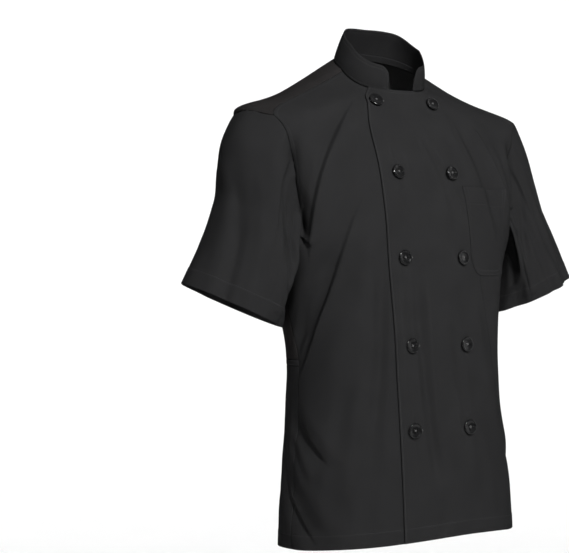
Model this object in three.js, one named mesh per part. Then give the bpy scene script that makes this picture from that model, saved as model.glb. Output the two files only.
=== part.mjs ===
// Short-sleeved double-breasted kitchen jacket, hollow, in the form it has when worn.
// Millimetres, +Z up, the front faces -Y, the wearer's left is +X.
// The origin is the middle of the neck base, where the wearer's shoulders hold the jacket up.
import * as THREE from "three";

// Cloth walls
const WALL = 1.6;
const COLLAR_WALL = 2.2;
const POCKET_WALL = 1.2;

// Gaps between neighbours
const SEAM_GAP = 0.3;
const LAP_GAP = 0.6;
const POCKET_GAP = 1.0;
const BUTTON_GAP = 0.5;

// Body heights, as shares of the way from hem to neck
const SIDE_TOP = 0.615;
const BAND_LOW = 0.38;
const BAND_HIGH = 0.392;
const FRONT_ARM_TOP = 0.9;
const BACK_ARM_TOP = 0.905;
const BODY_HEIGHT = 661;

// Turn angles in degrees: 0 is the centre front, 90 the wearer's left side, 180 the centre back
const SIDE_SEAM = 90;
const SHOULDER_SEAM_OUT = 78;
const SHOULDER_SEAM_IN = 86;

// The lap of the fronts: half its width, and where the upper layer comes back to the side seam
const LAP_HALF = 68;
const LAP_HALF_CHEST = 72;
const LAP_HALF_NECK = 58;
const RAMP_AFTER = 3;
const RAMP_RUN = 22;

// Mesh counts
const LAP_COLUMNS = 9;
const FRONT_COLUMNS = 7;
const BACK_COLUMNS = 26;
const FRONT_ARM_ROWS = 13;
const BACK_ARM_ROWS = 19;
const SHOULDER_ROWS = 5;
const ROW_LEVEL = 0.45;
const SLEEVE_ROWS = 10;
const COLLAR_COLUMNS = 36;
const COLLAR_ROWS = 4;
const POCKET_COLUMNS = 7;
const POCKET_ROWS = 8;

// Body rings from hem to neck: share of height, height at front, side and back,
// half width, depth at front, side and back, and how square the ring is
const RINGS = [
  { v: 0.0, zf: -661, zs: -661, zb: -661, a: 172, yf: -153, ys: -34, yb: 81, n: 2.35 },
  { v: 0.12, zf: -580, zs: -580, zb: -580, a: 169, yf: -147, ys: -32, yb: 83, n: 2.35 },
  { v: 0.25, zf: -500, zs: -500, zb: -500, a: 162, yf: -141, ys: -30, yb: 80, n: 2.3 },
  { v: 0.38, zf: -415, zs: -415, zb: -415, a: 158, yf: -134, ys: -26, yb: 80, n: 2.25 },
  { v: 0.5, zf: -330, zs: -330, zb: -330, a: 166, yf: -127, ys: -16, yb: 94, n: 2.25 },
  { v: 0.63, zf: -242, zs: -242, zb: -242, a: 194, yf: -116, ys: -6, yb: 110, n: 2.35 },
  { v: 0.76, zf: -158, zs: -158, zb: -145, a: 220, yf: -98, ys: 0, yb: 115, n: 2.45 },
  { v: 0.87, zf: -104, zs: -75, zb: -73, a: 227, yf: -76, ys: 4, yb: 103, n: 2.35 },
  { v: 0.94, zf: -68, zs: -47, zb: -26, a: 152, yf: -60, ys: 7, yb: 87, n: 2.2 },
  { v: 1.0, zf: -41, zs: -8, zb: 17, a: 66, yf: -45, ys: 8, yb: 70, n: 2.0 },
];

// How far the hem lies above its lowest ring, by turn: it hangs lower on the wearer's right
const HEM_LIFTS = [
  { t: -180, lift: 4 }, { t: -120, lift: 1 }, { t: -90, lift: 3 }, { t: -60, lift: 9.5 },
  { t: -30, lift: 15 }, { t: -10, lift: 18 }, { t: 20, lift: 20 }, { t: 40, lift: 18.4 },
  { t: 60, lift: 14 }, { t: 90, lift: 10 }, { t: 120, lift: 7 }, { t: 180, lift: 4 },
];

// Armhole edge of the front and of the back, from the underarm up to the shoulder seam
const ARM_FRONT = [
  { t: 90, v: 0.615 }, { t: 84, v: 0.62 }, { t: 78, v: 0.634 }, { t: 73.5, v: 0.658 },
  { t: 71, v: 0.7 }, { t: 71, v: 0.76 }, { t: 72, v: 0.8 }, { t: 73.5, v: 0.83 }, { t: 75.5, v: 0.854 },
  { t: 78, v: 0.872 },
];
const ARM_BACK = [
  { t: 90, v: 0.615 }, { t: 97, v: 0.621 }, { t: 104, v: 0.64 }, { t: 109, v: 0.675 }, { t: 111.5, v: 0.72 },
  { t: 112, v: 0.76 }, { t: 111, v: 0.805 }, { t: 107.5, v: 0.838 }, { t: 101, v: 0.8585 },
  { t: 90, v: 0.869 }, { t: 84, v: 0.8712 }, { t: 78, v: 0.872 },
];

// Largest folds of the body: from and to (turn, share of height), bow, half width and depth in mm
const BODY_FOLDS = [
  { t0: -58, v0: 0.93, t1: -67, v1: 0.69, bow: 6, wide: 15, deep: 4.0 },
  { t0: -50, v0: 0.69, t1: -86, v1: 0.37, bow: -14, wide: 20, deep: 5.5 },
  { t0: -62, v0: 0.6, t1: -90, v1: 0.42, bow: -4, wide: 13, deep: 3.5 },
  { t0: -36, v0: 0.62, t1: -50, v1: 0.22, bow: -6, wide: 17, deep: 3.5 },
  { t0: -92, v0: 0.28, t1: -68, v1: 0.16, bow: 0, wide: 13, deep: 3.5 },
  { t0: -98, v0: 0.17, t1: -70, v1: 0.0, bow: 4, wide: 16, deep: 4.0 },
  { t0: -20, v0: 0.6, t1: -5, v1: 0.1, bow: 8, wide: 18, deep: 3.0 },
  { t0: 38, v0: 0.54, t1: 58, v1: 0.26, bow: -4, wide: 15, deep: 3.5 },
  { t0: 50, v0: 0.92, t1: 58, v1: 0.64, bow: 8, wide: 16, deep: 4.0 },
  { t0: 66, v0: 0.61, t1: 88, v1: 0.4, bow: 8, wide: 17, deep: 4.5 },
  { t0: 62, v0: 0.2, t1: 80, v1: 0.0, bow: -4, wide: 18, deep: 3.5 },
  { t0: 76, v0: 0.6, t1: 74, v1: 0.26, bow: 0, wide: 34, deep: 6.5 },
  { t0: -72, v0: 0.82, t1: -70, v1: 0.66, bow: 0, wide: 10, deep: 5.0 },
  { t0: 72, v0: 0.82, t1: 70, v1: 0.66, bow: 0, wide: 9, deep: 3.5 },
  { t0: 122, v0: 0.72, t1: 112, v1: 0.44, bow: 8, wide: 17, deep: 4.5 },
  { t0: 150, v0: 0.56, t1: 128, v1: 0.41, bow: 4, wide: 15, deep: 3.5 },
  { t0: 158, v0: 0.385, t1: 152, v1: 0.1, bow: 3, wide: 17, deep: 4.0 },
  { t0: -158, v0: 0.39, t1: -150, v1: 0.06, bow: 4, wide: 19, deep: 4.0 },
  { t0: -124, v0: 0.73, t1: -112, v1: 0.44, bow: -8, wide: 17, deep: 4.5 },
  { t0: -150, v0: 0.58, t1: -126, v1: 0.41, bow: -4, wide: 15, deep: 3.5 },
  { t0: 118, v0: 0.36, t1: 106, v1: 0.08, bow: -6, wide: 18, deep: 4.0 },
  { t0: -116, v0: 0.36, t1: -108, v1: 0.1, bow: 6, wide: 18, deep: 4.0 },
];
const FOLD_MM_PER_DEGREE = 2.7;

// Sleeves: side, hem centre, slope of the hem to the front, and how much of the outer drape shows
const SLEEVES = [
  { name: "sleeve_right", side: -1, hemX: 244, hemZ: -333, pitch: 0.15, drape: 1.0, fill: 10 },
  { name: "sleeve_left", side: 1, hemX: 258, hemZ: -322, pitch: -0.06, drape: 0.35, fill: 6 },
];
const SLEEVE = {
  tilt: 22.5,
  across: 72,
  deep: 63,
  hemY: 1,
  armY: 2,
  armZ: -158,
  armWide: 62,
  armTall: 85,
  fillAngle: 118,
};
const SLEEVE_DRAPE = [
  { w: 0, out: 0 }, { w: 0.05, out: 4 }, { w: 0.16, out: 7.5 }, { w: 0.33, out: -0.5 }, { w: 0.52, out: -12 },
  { w: 0.64, out: -12 }, { w: 0.78, out: -9 }, { w: 0.9, out: -4 }, { w: 1, out: 0 },
];
// Sleeve folds: turn round the sleeve in degrees from the outer line, start and end along it
const SLEEVE_FOLDS = [
  { q: 1, w0: 0.12, w1: 1.05, drift: 54, wide: 14, deep: 4.0 },
  { q: 84, w0: 0.1, w1: 1.05, drift: 55, wide: 11, deep: 3.0 },
  { q: 136, w0: 0.25, w1: 1.0, drift: 4, wide: 10, deep: 2.5 },
  { q: -60, w0: 0.15, w1: 1.05, drift: -8, wide: 16, deep: 3.5 },
  { q: -105, w0: 0.25, w1: 1.0, drift: 6, wide: 13, deep: 3.0 },
];

// Collar: top ring, and the front ends in degrees from the centre front
const COLLAR = {
  topWide: 58,
  topDeep: 51,
  topY: -3,
  leftEnd: 20,
  rightEnd: 24,
  roundAngle: 25,
  bulge: 1.2,
};
// Its rise by angle round the neck from the centre front
const COLLAR_RISES = [
  { angle: 0, rise: 33 }, { angle: 90, rise: 31 }, { angle: 135, rise: 38.5 }, { angle: 180, rise: 37 },
];
const NECK = { wide: 66, deep: 57.5, y: 12.5 };

// Chest pocket on the wearer's left front, and the pen pocket on the left sleeve
const CHEST_POCKET = { t0: 31, t1: 61, low: 0.551, high: 0.735, corner: 0.2 };
const PEN_POCKET = { q0: -38, q1: 14, w0: 0.38, w1: 0.84 };

// Buttons: radius and height, rows as shares of height, turn of the two columns in each row
const BUTTON = { radius: 10, height: 4.2, rim: 2.2, dish: 1.1, shank: 3, segments: 20 };
const BUTTON_ROWS = [
  { v: 0.957, right: -40, left: 36 },
  { v: 0.764, right: -25, left: 24 },
  { v: 0.588, right: -24, left: 23 },
  { v: 0.42, right: -23, left: 23.5 },
  { v: 0.25, right: -24, left: 22 },
];

const DEGREE = Math.PI / 180;
const TINY_T = 0.25;
const TINY_V = 0.002;

function mix(a, b, share) {
  return a + (b - a) * share;
}

function smooth(low, high, value) {
  const share = Math.min(1, Math.max(0, (value - low) / (high - low)));
  return share * share * (3 - 2 * share);
}

// A curve through the rows of a table that never overshoots them
function curve(rows, xKey, yKey) {
  const x = rows.map((row) => row[xKey]);
  const y = rows.map((row) => row[yKey]);
  const count = x.length;
  const steps = x.slice(1).map((value, i) => value - x[i]);
  const rises = y.slice(1).map((value, i) => (value - y[i]) / steps[i]);
  const slopes = new Array(count).fill(0);
  for (let i = 1; i < count - 1; i += 1) {
    if (rises[i - 1] * rises[i] > 0) {
      const before = 2 * steps[i] + steps[i - 1];
      const after = steps[i] + 2 * steps[i - 1];
      slopes[i] = (before + after) / (before / rises[i - 1] + after / rises[i]);
    }
  }
  slopes[0] = rises[0];
  slopes[count - 1] = rises[count - 2];
  return (value) => {
    const at = Math.min(x[count - 1], Math.max(x[0], value));
    let i = 0;
    while (i < count - 2 && at > x[i + 1]) {
      i += 1;
    }
    const h = steps[i];
    const s = (at - x[i]) / h;
    const a = y[i] * (1 + 2 * s) * (1 - s) * (1 - s);
    const b = slopes[i] * h * s * (1 - s) * (1 - s);
    const c = y[i + 1] * s * s * (3 - 2 * s);
    const d = slopes[i + 1] * h * s * s * (s - 1);
    return a + b + c + d;
  };
}

function wrap(turn) {
  return ((turn + 540) % 360) - 180;
}

const hemLift = curve(HEM_LIFTS, "t", "lift");
const ring = {};
for (const key of ["zf", "zs", "zb", "a", "yf", "ys", "yb", "n"]) {
  ring[key] = curve(RINGS, "v", key);
}

// The plain body form at a turn and a share of height
function bodyForm(turn, v) {
  const s = Math.sin(turn * DEGREE);
  const c = Math.cos(turn * DEGREE);
  const side = ring.ys(v);
  const reach = c > 0 ? side - ring.yf(v) : ring.yb(v) - side;
  const n = ring.n(v);
  const sum = Math.pow(Math.abs(s / ring.a(v)), n) + Math.pow(Math.abs(c / reach), n);
  const r = Math.pow(sum, -1 / n);
  const inward = Math.min(1, Math.abs(r * c) / reach);
  const neck = smooth(0.92, 1, v);
  const power = c > 0 ? 1.6 : 1.2;
  const dip = mix(inward * inward, 1 - Math.pow(1 - inward, power), neck);
  const edge = c > 0 ? ring.zf(v) : ring.zb(v);
  const lift = hemLift(wrap(turn)) * (1 - smooth(0, 0.3, v));
  return new THREE.Vector3(r * s, side - r * c, mix(ring.zs(v), edge, dip) + lift);
}

// How far one fold moves the cloth at a place
function foldDepth(fold, along, aside) {
  const run = Math.hypot(fold.du, fold.dv);
  const share = (along * fold.du + aside * fold.dv) / (run * run);
  if (share < -0.15 || share > 1.15) {
    return 0;
  }
  const held = Math.min(1, Math.max(0, share));
  const off = (along * fold.dv - aside * fold.du) / run - fold.bow * 4 * held * (1 - held);
  const d = Math.abs(off) / fold.wide;
  const ends = smooth(-0.15, 0.25, share) * (1 - smooth(0.75, 1.15, share));
  const trough = Math.exp(-d * d);
  const ridge = 0.45 * Math.exp(-Math.pow((d - 1.7) / 0.8, 2));
  return fold.deep * ends * (ridge - trough);
}

function bodyFolds(turn, v) {
  let sum = 0;
  for (const row of BODY_FOLDS) {
    const fold = {
      du: wrap(row.t1 - row.t0) * FOLD_MM_PER_DEGREE,
      dv: (row.v1 - row.v0) * BODY_HEIGHT,
      bow: row.bow,
      wide: row.wide,
      deep: row.deep,
    };
    const along = wrap(turn - row.t0) * FOLD_MM_PER_DEGREE;
    sum += foldDepth(fold, along, (v - row.v0) * BODY_HEIGHT);
  }
  return sum * (1 - smooth(0.93, 0.985, v));
}

function normalOf(surface, turn, v) {
  const low = Math.max(0, v - TINY_V);
  const high = Math.min(1, v + TINY_V);
  const round = surface(turn + TINY_T, v).sub(surface(turn - TINY_T, v));
  const up = surface(turn, high).sub(surface(turn, low));
  return round.cross(up).normalize();
}

// The draped cloth of the body; layer is how far it lies outside the form
function cloth(layer) {
  return (turn, v) => {
    const move = bodyFolds(turn, v) + layer(turn, v);
    return bodyForm(turn, v).addScaledVector(normalOf(bodyForm, turn, v), move);
  };
}

// Turn of the lap edge at a height, found by halving
function findLapEdge(v) {
  const chest = mix(LAP_HALF, LAP_HALF_CHEST, smooth(0.4, 0.65, v));
  const half = mix(chest, LAP_HALF_NECK, smooth(0.88, 1, v));
  let low = 5;
  let high = 70;
  for (let i = 0; i < 30; i += 1) {
    const middle = (low + high) / 2;
    if (bodyForm(middle, v).x < half) {
      low = middle;
    } else {
      high = middle;
    }
  }
  return Math.min(low, 50);
}

const lapRows = Array.from({ length: 41 }, (_, i) => ({ v: i / 40, t: findLapEdge(i / 40) }));
const lapEdge = curve(lapRows, "v", "t");

function overLayer(turn, v) {
  const start = lapEdge(v) + RAMP_AFTER;
  return (WALL + LAP_GAP) * (1 - smooth(start, start + RAMP_RUN, turn));
}

const under = cloth(() => 0);
const over = cloth(overLayer);

// Points along a table of turns and heights, evenly spaced on the cloth
function edgePoints(table, count) {
  const t = curve(table.map((row, i) => ({ i, t: row.t })), "i", "t");
  const v = curve(table.map((row, i) => ({ i, v: row.v })), "i", "v");
  const fine = 400;
  const places = [];
  let run = 0;
  let last = null;
  for (let i = 0; i <= fine; i += 1) {
    const at = (i / fine) * (table.length - 1);
    const point = bodyForm(t(at), v(at));
    run += last ? point.distanceTo(last) : 0;
    last = point;
    places.push({ at, run });
  }
  const result = [];
  for (let k = 0; k <= count; k += 1) {
    const want = (k / count) * run;
    const place = places.find((entry) => entry.run >= want - 1e-9) || places[fine];
    result.push({ t: t(place.at), v: v(place.at) });
  }
  return result;
}

const SIDE_LOW = [0, 0.055, 0.11, 0.165, 0.22, 0.275, 0.33, BAND_LOW];
const SIDE_UP = [BAND_HIGH, 0.43, 0.47, 0.51, 0.55, 0.585, SIDE_TOP];
const armFront = edgePoints(ARM_FRONT, FRONT_ARM_ROWS);
const armBack = edgePoints(ARM_BACK, BACK_ARM_ROWS);

function shoulderRows(innerStart) {
  const rows = [];
  const start = armFront[FRONT_ARM_ROWS];
  for (let i = 1; i <= SHOULDER_ROWS; i += 1) {
    const share = i / SHOULDER_ROWS;
    rows.push({
      t: mix(SHOULDER_SEAM_OUT, SHOULDER_SEAM_IN, share),
      v: mix(start.v, 1, share),
      inner: mix(innerStart, 1, share),
    });
  }
  return rows;
}

function armRows(points, innerTop) {
  const top = points[points.length - 1].v;
  return points.slice(1).map((point, i) => {
    const even = (i + 1) / (points.length - 1);
    const level = (point.v - SIDE_TOP) / (top - SIDE_TOP);
    return { t: point.t, v: point.v, inner: mix(SIDE_TOP, innerTop, mix(even, level, ROW_LEVEL)) };
  });
}

function sideRows(heights) {
  return heights.map((v) => ({ t: SIDE_SEAM, v, inner: v }));
}

// A grid of places on a front panel, from the lap edge to the side; side is the wearer's side
function frontPlaces(side) {
  const arm = armRows(armFront, FRONT_ARM_TOP);
  const rows = [...sideRows([...SIDE_LOW, ...SIDE_UP]), ...arm, ...shoulderRows(FRONT_ARM_TOP)];
  return rows.map((row) => {
    const edge = lapEdge(row.inner);
    const places = [];
    for (let j = 0; j <= LAP_COLUMNS; j += 1) {
      places.push({ t: mix(-edge, edge, j / LAP_COLUMNS), v: row.inner });
    }
    for (let j = 1; j <= FRONT_COLUMNS; j += 1) {
      const share = j / FRONT_COLUMNS;
      places.push({ t: mix(edge, row.t, share), v: mix(row.inner, row.v, Math.pow(share, 1.3)) });
    }
    return side > 0 ? places : places.map((place) => ({ t: -place.t, v: place.v })).reverse();
  });
}

function backPlaces(rows) {
  return rows.map((row) => {
    const places = [];
    for (let j = 0; j <= BACK_COLUMNS; j += 1) {
      const share = (2 * j) / BACK_COLUMNS - 1;
      const turn = 180 + (180 - row.t) * share;
      places.push({ t: turn, v: mix(row.inner, row.v, Math.pow(Math.abs(share), 1.6)) });
    }
    return places;
  });
}

function gridOn(surface, places) {
  return places.map((line) => line.map((place) => ({
    p: surface(place.t, place.v),
    n: normalOf(surface, place.t, place.v),
  })));
}

// Moves one side of a grid in by half the seam gap
function trim(grid, edges) {
  const rows = grid.length;
  const columns = grid[0].length;
  const moves = [];
  const plan = (i, j, ni, nj, bi, bj) => {
    const here = grid[i][j];
    const inner = grid[ni][nj].p.clone().sub(here.p);
    const before = grid[Math.max(0, i - bi)][Math.max(0, j - bj)].p;
    const after = grid[Math.min(rows - 1, i + bi)][Math.min(columns - 1, j + bj)].p;
    const along = after.clone().sub(before).normalize();
    const way = along.cross(here.n).normalize();
    way.multiplyScalar(way.dot(inner) < 0 ? -1 : 1);
    moves.push({ here, way });
  };
  for (let i = 0; i < rows; i += 1) {
    if (edges.includes("first")) {
      plan(i, 0, i, 1, 1, 0);
    }
    if (edges.includes("last")) {
      plan(i, columns - 1, i, columns - 2, 1, 0);
    }
  }
  for (let j = 0; j < columns; j += 1) {
    if (edges.includes("low")) {
      plan(0, j, 1, j, 0, 1);
    }
    if (edges.includes("high")) {
      plan(rows - 1, j, rows - 2, j, 0, 1);
    }
  }
  for (const { here, way } of moves) {
    here.p.addScaledVector(way, SEAM_GAP / 2);
  }
  return grid;
}

// A closed wall from a grid of outer points and their normals
function wallGeometry(grid, wall, closed) {
  const rows = grid.length;
  const columns = grid[0].length;
  const positions = [];
  const faces = [];
  for (const shift of [0, wall]) {
    for (const line of grid) {
      for (const { p, n } of line) {
        positions.push(p.x - n.x * shift, p.y - n.y * shift, p.z - n.z * shift);
      }
    }
  }
  const outer = (i, j) => i * columns + (j % columns);
  const inner = (i, j) => rows * columns + outer(i, j);
  const quad = (a, b, c, d) => faces.push(a, b, c, a, c, d);
  const spans = closed ? columns : columns - 1;
  for (let i = 0; i < rows - 1; i += 1) {
    for (let j = 0; j < spans; j += 1) {
      quad(outer(i, j), outer(i, j + 1), outer(i + 1, j + 1), outer(i + 1, j));
      quad(inner(i, j), inner(i + 1, j), inner(i + 1, j + 1), inner(i, j + 1));
    }
  }
  for (let j = 0; j < spans; j += 1) {
    quad(inner(0, j), inner(0, j + 1), outer(0, j + 1), outer(0, j));
    quad(outer(rows - 1, j), outer(rows - 1, j + 1), inner(rows - 1, j + 1), inner(rows - 1, j));
  }
  if (!closed) {
    for (let i = 0; i < rows - 1; i += 1) {
      quad(inner(i, 0), outer(i, 0), outer(i + 1, 0), inner(i + 1, 0));
      quad(outer(i, spans), inner(i, spans), inner(i + 1, spans), outer(i + 1, spans));
    }
  }
  const geometry = new THREE.BufferGeometry();
  geometry.setAttribute("position", new THREE.Float32BufferAttribute(positions, 3));
  geometry.setIndex(faces);
  return geometry;
}

const looks = {
  twill: { color: 0x2a2a2c, roughness: 0.72, metalness: 0 },
  net: { color: 0x322f2f, roughness: 0.85, metalness: 0 },
  button: { color: 0x0c0c0d, roughness: 0.18, metalness: 0 },
};

const group = new THREE.Group();

function add(name, geometry, look) {
  geometry.computeVertexNormals();
  const mesh = new THREE.Mesh(geometry, new THREE.MeshStandardMaterial(looks[look]));
  mesh.name = name;
  group.add(mesh);
}

// Fronts
const frontRight = trim(gridOn(under, frontPlaces(-1)), ["first", "high"]);
const frontLeft = trim(gridOn(over, frontPlaces(1)), ["last", "high"]);
add("front_right", wallGeometry(frontRight, WALL, false), "twill");
add("front_left", wallGeometry(frontLeft, WALL, false), "twill");

// Back: net above the waist band, twill below it
const backArm = [...armRows(armBack, BACK_ARM_TOP), ...shoulderRows(BACK_ARM_TOP)];
const backUpper = gridOn(under, backPlaces([...sideRows(SIDE_UP), ...backArm]));
const waistBand = gridOn(under, backPlaces(sideRows([BAND_LOW, BAND_HIGH])));
const backLower = gridOn(under, backPlaces(sideRows(SIDE_LOW)));
add("back_upper", wallGeometry(trim(backUpper, ["first", "last", "low", "high"]), WALL, false), "net");
add("waist_band", wallGeometry(trim(waistBand, ["first", "last", "low", "high"]), WALL, false), "twill");
add("back_lower", wallGeometry(trim(backLower, ["first", "last", "high"]), WALL, false), "twill");

// Sleeves: from the armhole edge to the hem ring, with the drape of the outer line
const drapeOut = curve(SLEEVE_DRAPE, "w", "out");

function armholeLoop(side) {
  const back = armBack.slice(0, -1).reverse();
  const loop = [...armFront.slice(1), ...back];
  return side > 0 ? loop : loop.map((place) => ({ t: -place.t, v: place.v }));
}

function sleeveStart(loop, j, side, hem) {
  const count = loop.length;
  const at = (k) => under(loop[(k + count) % count].t, loop[(k + count) % count].v);
  const edge = at(j);
  const n = normalOf(under, loop[j].t, loop[j].v);
  const along = at(j + 1).sub(at(j - 1)).normalize();
  const into = along.clone().cross(n).normalize();
  const middle = new THREE.Vector3(side * 226, SLEEVE.armY, SLEEVE.armZ);
  into.multiplyScalar(into.dot(middle.sub(edge)) < 0 ? -1 : 1);
  const way = hem.clone().sub(edge);
  way.addScaledVector(along, -way.dot(along)).normalize();
  const bend = Math.max(0, -way.dot(n));
  const back = Math.max(0, -way.dot(into));
  const start = edge.addScaledVector(into, SEAM_GAP + WALL * bend);
  return start.addScaledVector(n, SEAM_GAP * 2 * smooth(0, 0.6, back));
}

function sleevePoint(start, hem, angle, w, sleeve) {
  const point = start.clone().lerp(hem, w);
  const outer = Math.pow(Math.max(0, Math.cos(angle / 2)), 3);
  const low = Math.pow(Math.max(0, -Math.cos(angle)), 2);
  const bell = 4 * w * (1 - w);
  const fill = sleeve.fill * Math.pow(Math.max(0, Math.cos((angle - SLEEVE.fillAngle * DEGREE) / 2)), 4);
  const lower = Math.sin(Math.PI * Math.pow(w, 1.4));
  point.x += sleeve.side * (drapeOut(w) * sleeve.drape * outer + 5 * low * bell - 0.5 * fill * lower);
  point.y -= fill * lower;
  return point;
}

function sleeveFoldMove(angle, w) {
  let sum = 0;
  for (const fold of SLEEVE_FOLDS) {
    const off = wrap(angle / DEGREE - fold.q - fold.drift * w) * 1.15;
    const d = Math.abs(off) / fold.wide;
    const length = smooth(fold.w0, fold.w0 + 0.3, w) * (1 - smooth(fold.w1 - 0.05, fold.w1, w));
    const shape = 0.45 * Math.exp(-Math.pow((d - 1.7) / 0.8, 2)) - Math.exp(-d * d);
    sum += fold.deep * length * shape;
  }
  return sum;
}

function sleeveStations(sleeve) {
  const loop = armholeLoop(sleeve.side);
  const tilt = SLEEVE.tilt * DEGREE;
  return loop.map((place, j) => {
    const edge = under(place.t, place.v);
    const front = -(edge.y - SLEEVE.armY) / SLEEVE.armWide;
    const angle = Math.atan2(front, (edge.z - SLEEVE.armZ) / SLEEVE.armTall);
    const out = SLEEVE.across * Math.cos(angle);
    const hem = new THREE.Vector3(
      sleeve.side * (sleeve.hemX + out * Math.cos(tilt)),
      SLEEVE.hemY - SLEEVE.deep * Math.sin(angle),
      sleeve.hemZ + out * Math.sin(tilt) - sleeve.pitch * SLEEVE.deep * Math.sin(angle),
    );
    return { angle, hem, start: sleeveStart(loop, j, sleeve.side, hem) };
  });
}

function sleeveSkin(sleeve) {
  const stations = sleeveStations(sleeve);
  const centre = new THREE.Vector3(sleeve.side * sleeve.hemX, SLEEVE.hemY, sleeve.hemZ);
  const top = new THREE.Vector3(sleeve.side * 215, SLEEVE.armY, SLEEVE.armZ);
  return { stations, pointAt: (station, w) => {
    const point = sleevePoint(station.start, station.hem, station.angle, w, sleeve);
    const middle = top.clone().lerp(centre, w);
    const away = point.clone().sub(middle).normalize();
    return point.addScaledVector(away, sleeveFoldMove(station.angle, w));
  } };
}

// Normals from the neighbours in a grid
function addNormals(points, closed, flip) {
  const rows = points.length;
  const columns = points[0].length;
  return points.map((line, i) => line.map((p, j) => {
    const before = closed ? line[(j + columns - 1) % columns] : line[Math.max(0, j - 1)];
    const after = closed ? line[(j + 1) % columns] : line[Math.min(columns - 1, j + 1)];
    const round = after.clone().sub(before);
    const up = points[Math.min(rows - 1, i + 1)][j].clone().sub(points[Math.max(0, i - 1)][j]);
    return { p, n: round.cross(up).normalize().multiplyScalar(flip ? -1 : 1) };
  }));
}

for (const sleeve of SLEEVES) {
  const skin = sleeveSkin(sleeve);
  const ordered = sleeve.side > 0 ? skin.stations : [...skin.stations].reverse();
  const points = [];
  for (let k = SLEEVE_ROWS; k >= 0; k -= 1) {
    points.push(ordered.map((station) => skin.pointAt(station, k / SLEEVE_ROWS)));
  }
  add(sleeve.name, wallGeometry(addNormals(points, true, false), WALL, true), "twill");
}

// Collar: a standing strip on the neck edge, its front ends rounded
const collarRise = curve(COLLAR_RISES, "angle", "rise");

function collarBase(turn) {
  const lap = turn < 180 ? over : under;
  const edge = lap(turn, 1);
  const n = normalOf(lap, turn, 1);
  const along = lap(turn + 1, 1).sub(lap(turn - 1, 1)).normalize();
  const into = along.cross(n).normalize();
  into.multiplyScalar(into.z < -0.001 || into.dot(edge) > 0 ? -1 : 1);
  return edge.addScaledVector(into, SEAM_GAP);
}

function collarPoint(turn, share) {
  const base = collarBase(turn);
  const angle = Math.atan2(base.x / NECK.wide, -(base.y - NECK.y) / NECK.deep);
  const top = new THREE.Vector3(
    COLLAR.topWide * Math.sin(angle),
    COLLAR.topY - COLLAR.topDeep * Math.cos(angle),
    base.z + collarRise(Math.abs(THREE.MathUtils.radToDeg(angle))),
  );
  const point = base.clone().lerp(top, share);
  const bulge = COLLAR.bulge * 4 * share * (1 - share);
  return point.add(new THREE.Vector3(Math.sin(angle) * bulge, -Math.cos(angle) * bulge, 0));
}

const collarLines = [];
for (let i = 0; i <= COLLAR_ROWS; i += 1) {
  const line = [];
  for (let j = 0; j <= COLLAR_COLUMNS; j += 1) {
    const share = j / COLLAR_COLUMNS;
    const eased = share - 0.09 * Math.sin(2 * Math.PI * share);
    const turn = mix(COLLAR.leftEnd, 360 - COLLAR.rightEnd, eased);
    const fromEnd = Math.min(turn - COLLAR.leftEnd, 360 - COLLAR.rightEnd - turn);
    const left = Math.max(0, 1 - fromEnd / COLLAR.roundAngle);
    const full = 0.16 + 0.84 * Math.pow(1 - Math.pow(left, 2.6), 1 / 2.2);
    line.push(collarPoint(turn, (i / COLLAR_ROWS) * full));
  }
  collarLines.push(line);
}
add("collar", wallGeometry(addNormals(collarLines, false, false), COLLAR_WALL, false), "twill");

// Chest pocket on the points of the left front, its lower corners cut
const chestPlaces = [];
for (let i = 0; i <= POCKET_ROWS; i += 1) {
  const line = [];
  for (let j = 0; j <= POCKET_COLUMNS; j += 1) {
    const across = j / POCKET_COLUMNS;
    const toSide = Math.abs(2 * across - 1);
    const lift = CHEST_POCKET.corner * Math.pow(toSide, 5);
    const up = i / POCKET_ROWS;
    line.push({
      t: mix(CHEST_POCKET.t0, CHEST_POCKET.t1, across),
      v: mix(mix(CHEST_POCKET.low, CHEST_POCKET.high, lift), CHEST_POCKET.high, up),
    });
  }
  chestPlaces.push(line);
}
const chest = gridOn(over, chestPlaces);
for (const place of chest.flat()) {
  place.p.addScaledVector(place.n, POCKET_GAP + POCKET_WALL);
}
add("chest_pocket", wallGeometry(chest, POCKET_WALL, false), "twill");

// Pen pocket on the outer side of the left sleeve
const leftSkin = sleeveSkin(SLEEVES[1]);
const byAngle = [...leftSkin.stations].sort((one, two) => one.angle - two.angle);

function stationAt(angle) {
  let i = 0;
  while (i < byAngle.length - 2 && byAngle[i + 1].angle < angle) {
    i += 1;
  }
  const one = byAngle[i];
  const two = byAngle[i + 1];
  const share = (angle - one.angle) / (two.angle - one.angle);
  return {
    angle,
    start: one.start.clone().lerp(two.start, share),
    hem: one.hem.clone().lerp(two.hem, share),
  };
}

const penPoints = [];
for (let i = 0; i <= POCKET_ROWS; i += 1) {
  const line = [];
  for (let j = 0; j <= POCKET_COLUMNS; j += 1) {
    const angle = mix(PEN_POCKET.q1, PEN_POCKET.q0, j / POCKET_COLUMNS) * DEGREE;
    line.push(leftSkin.pointAt(stationAt(angle), mix(PEN_POCKET.w1, PEN_POCKET.w0, i / POCKET_ROWS)));
  }
  penPoints.push(line);
}
const pen = addNormals(penPoints, false, false);
for (const place of pen.flat()) {
  place.p.addScaledVector(place.n, POCKET_GAP + POCKET_WALL);
}
add("sleeve_pocket", wallGeometry(pen, POCKET_WALL, false), "twill");

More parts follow.
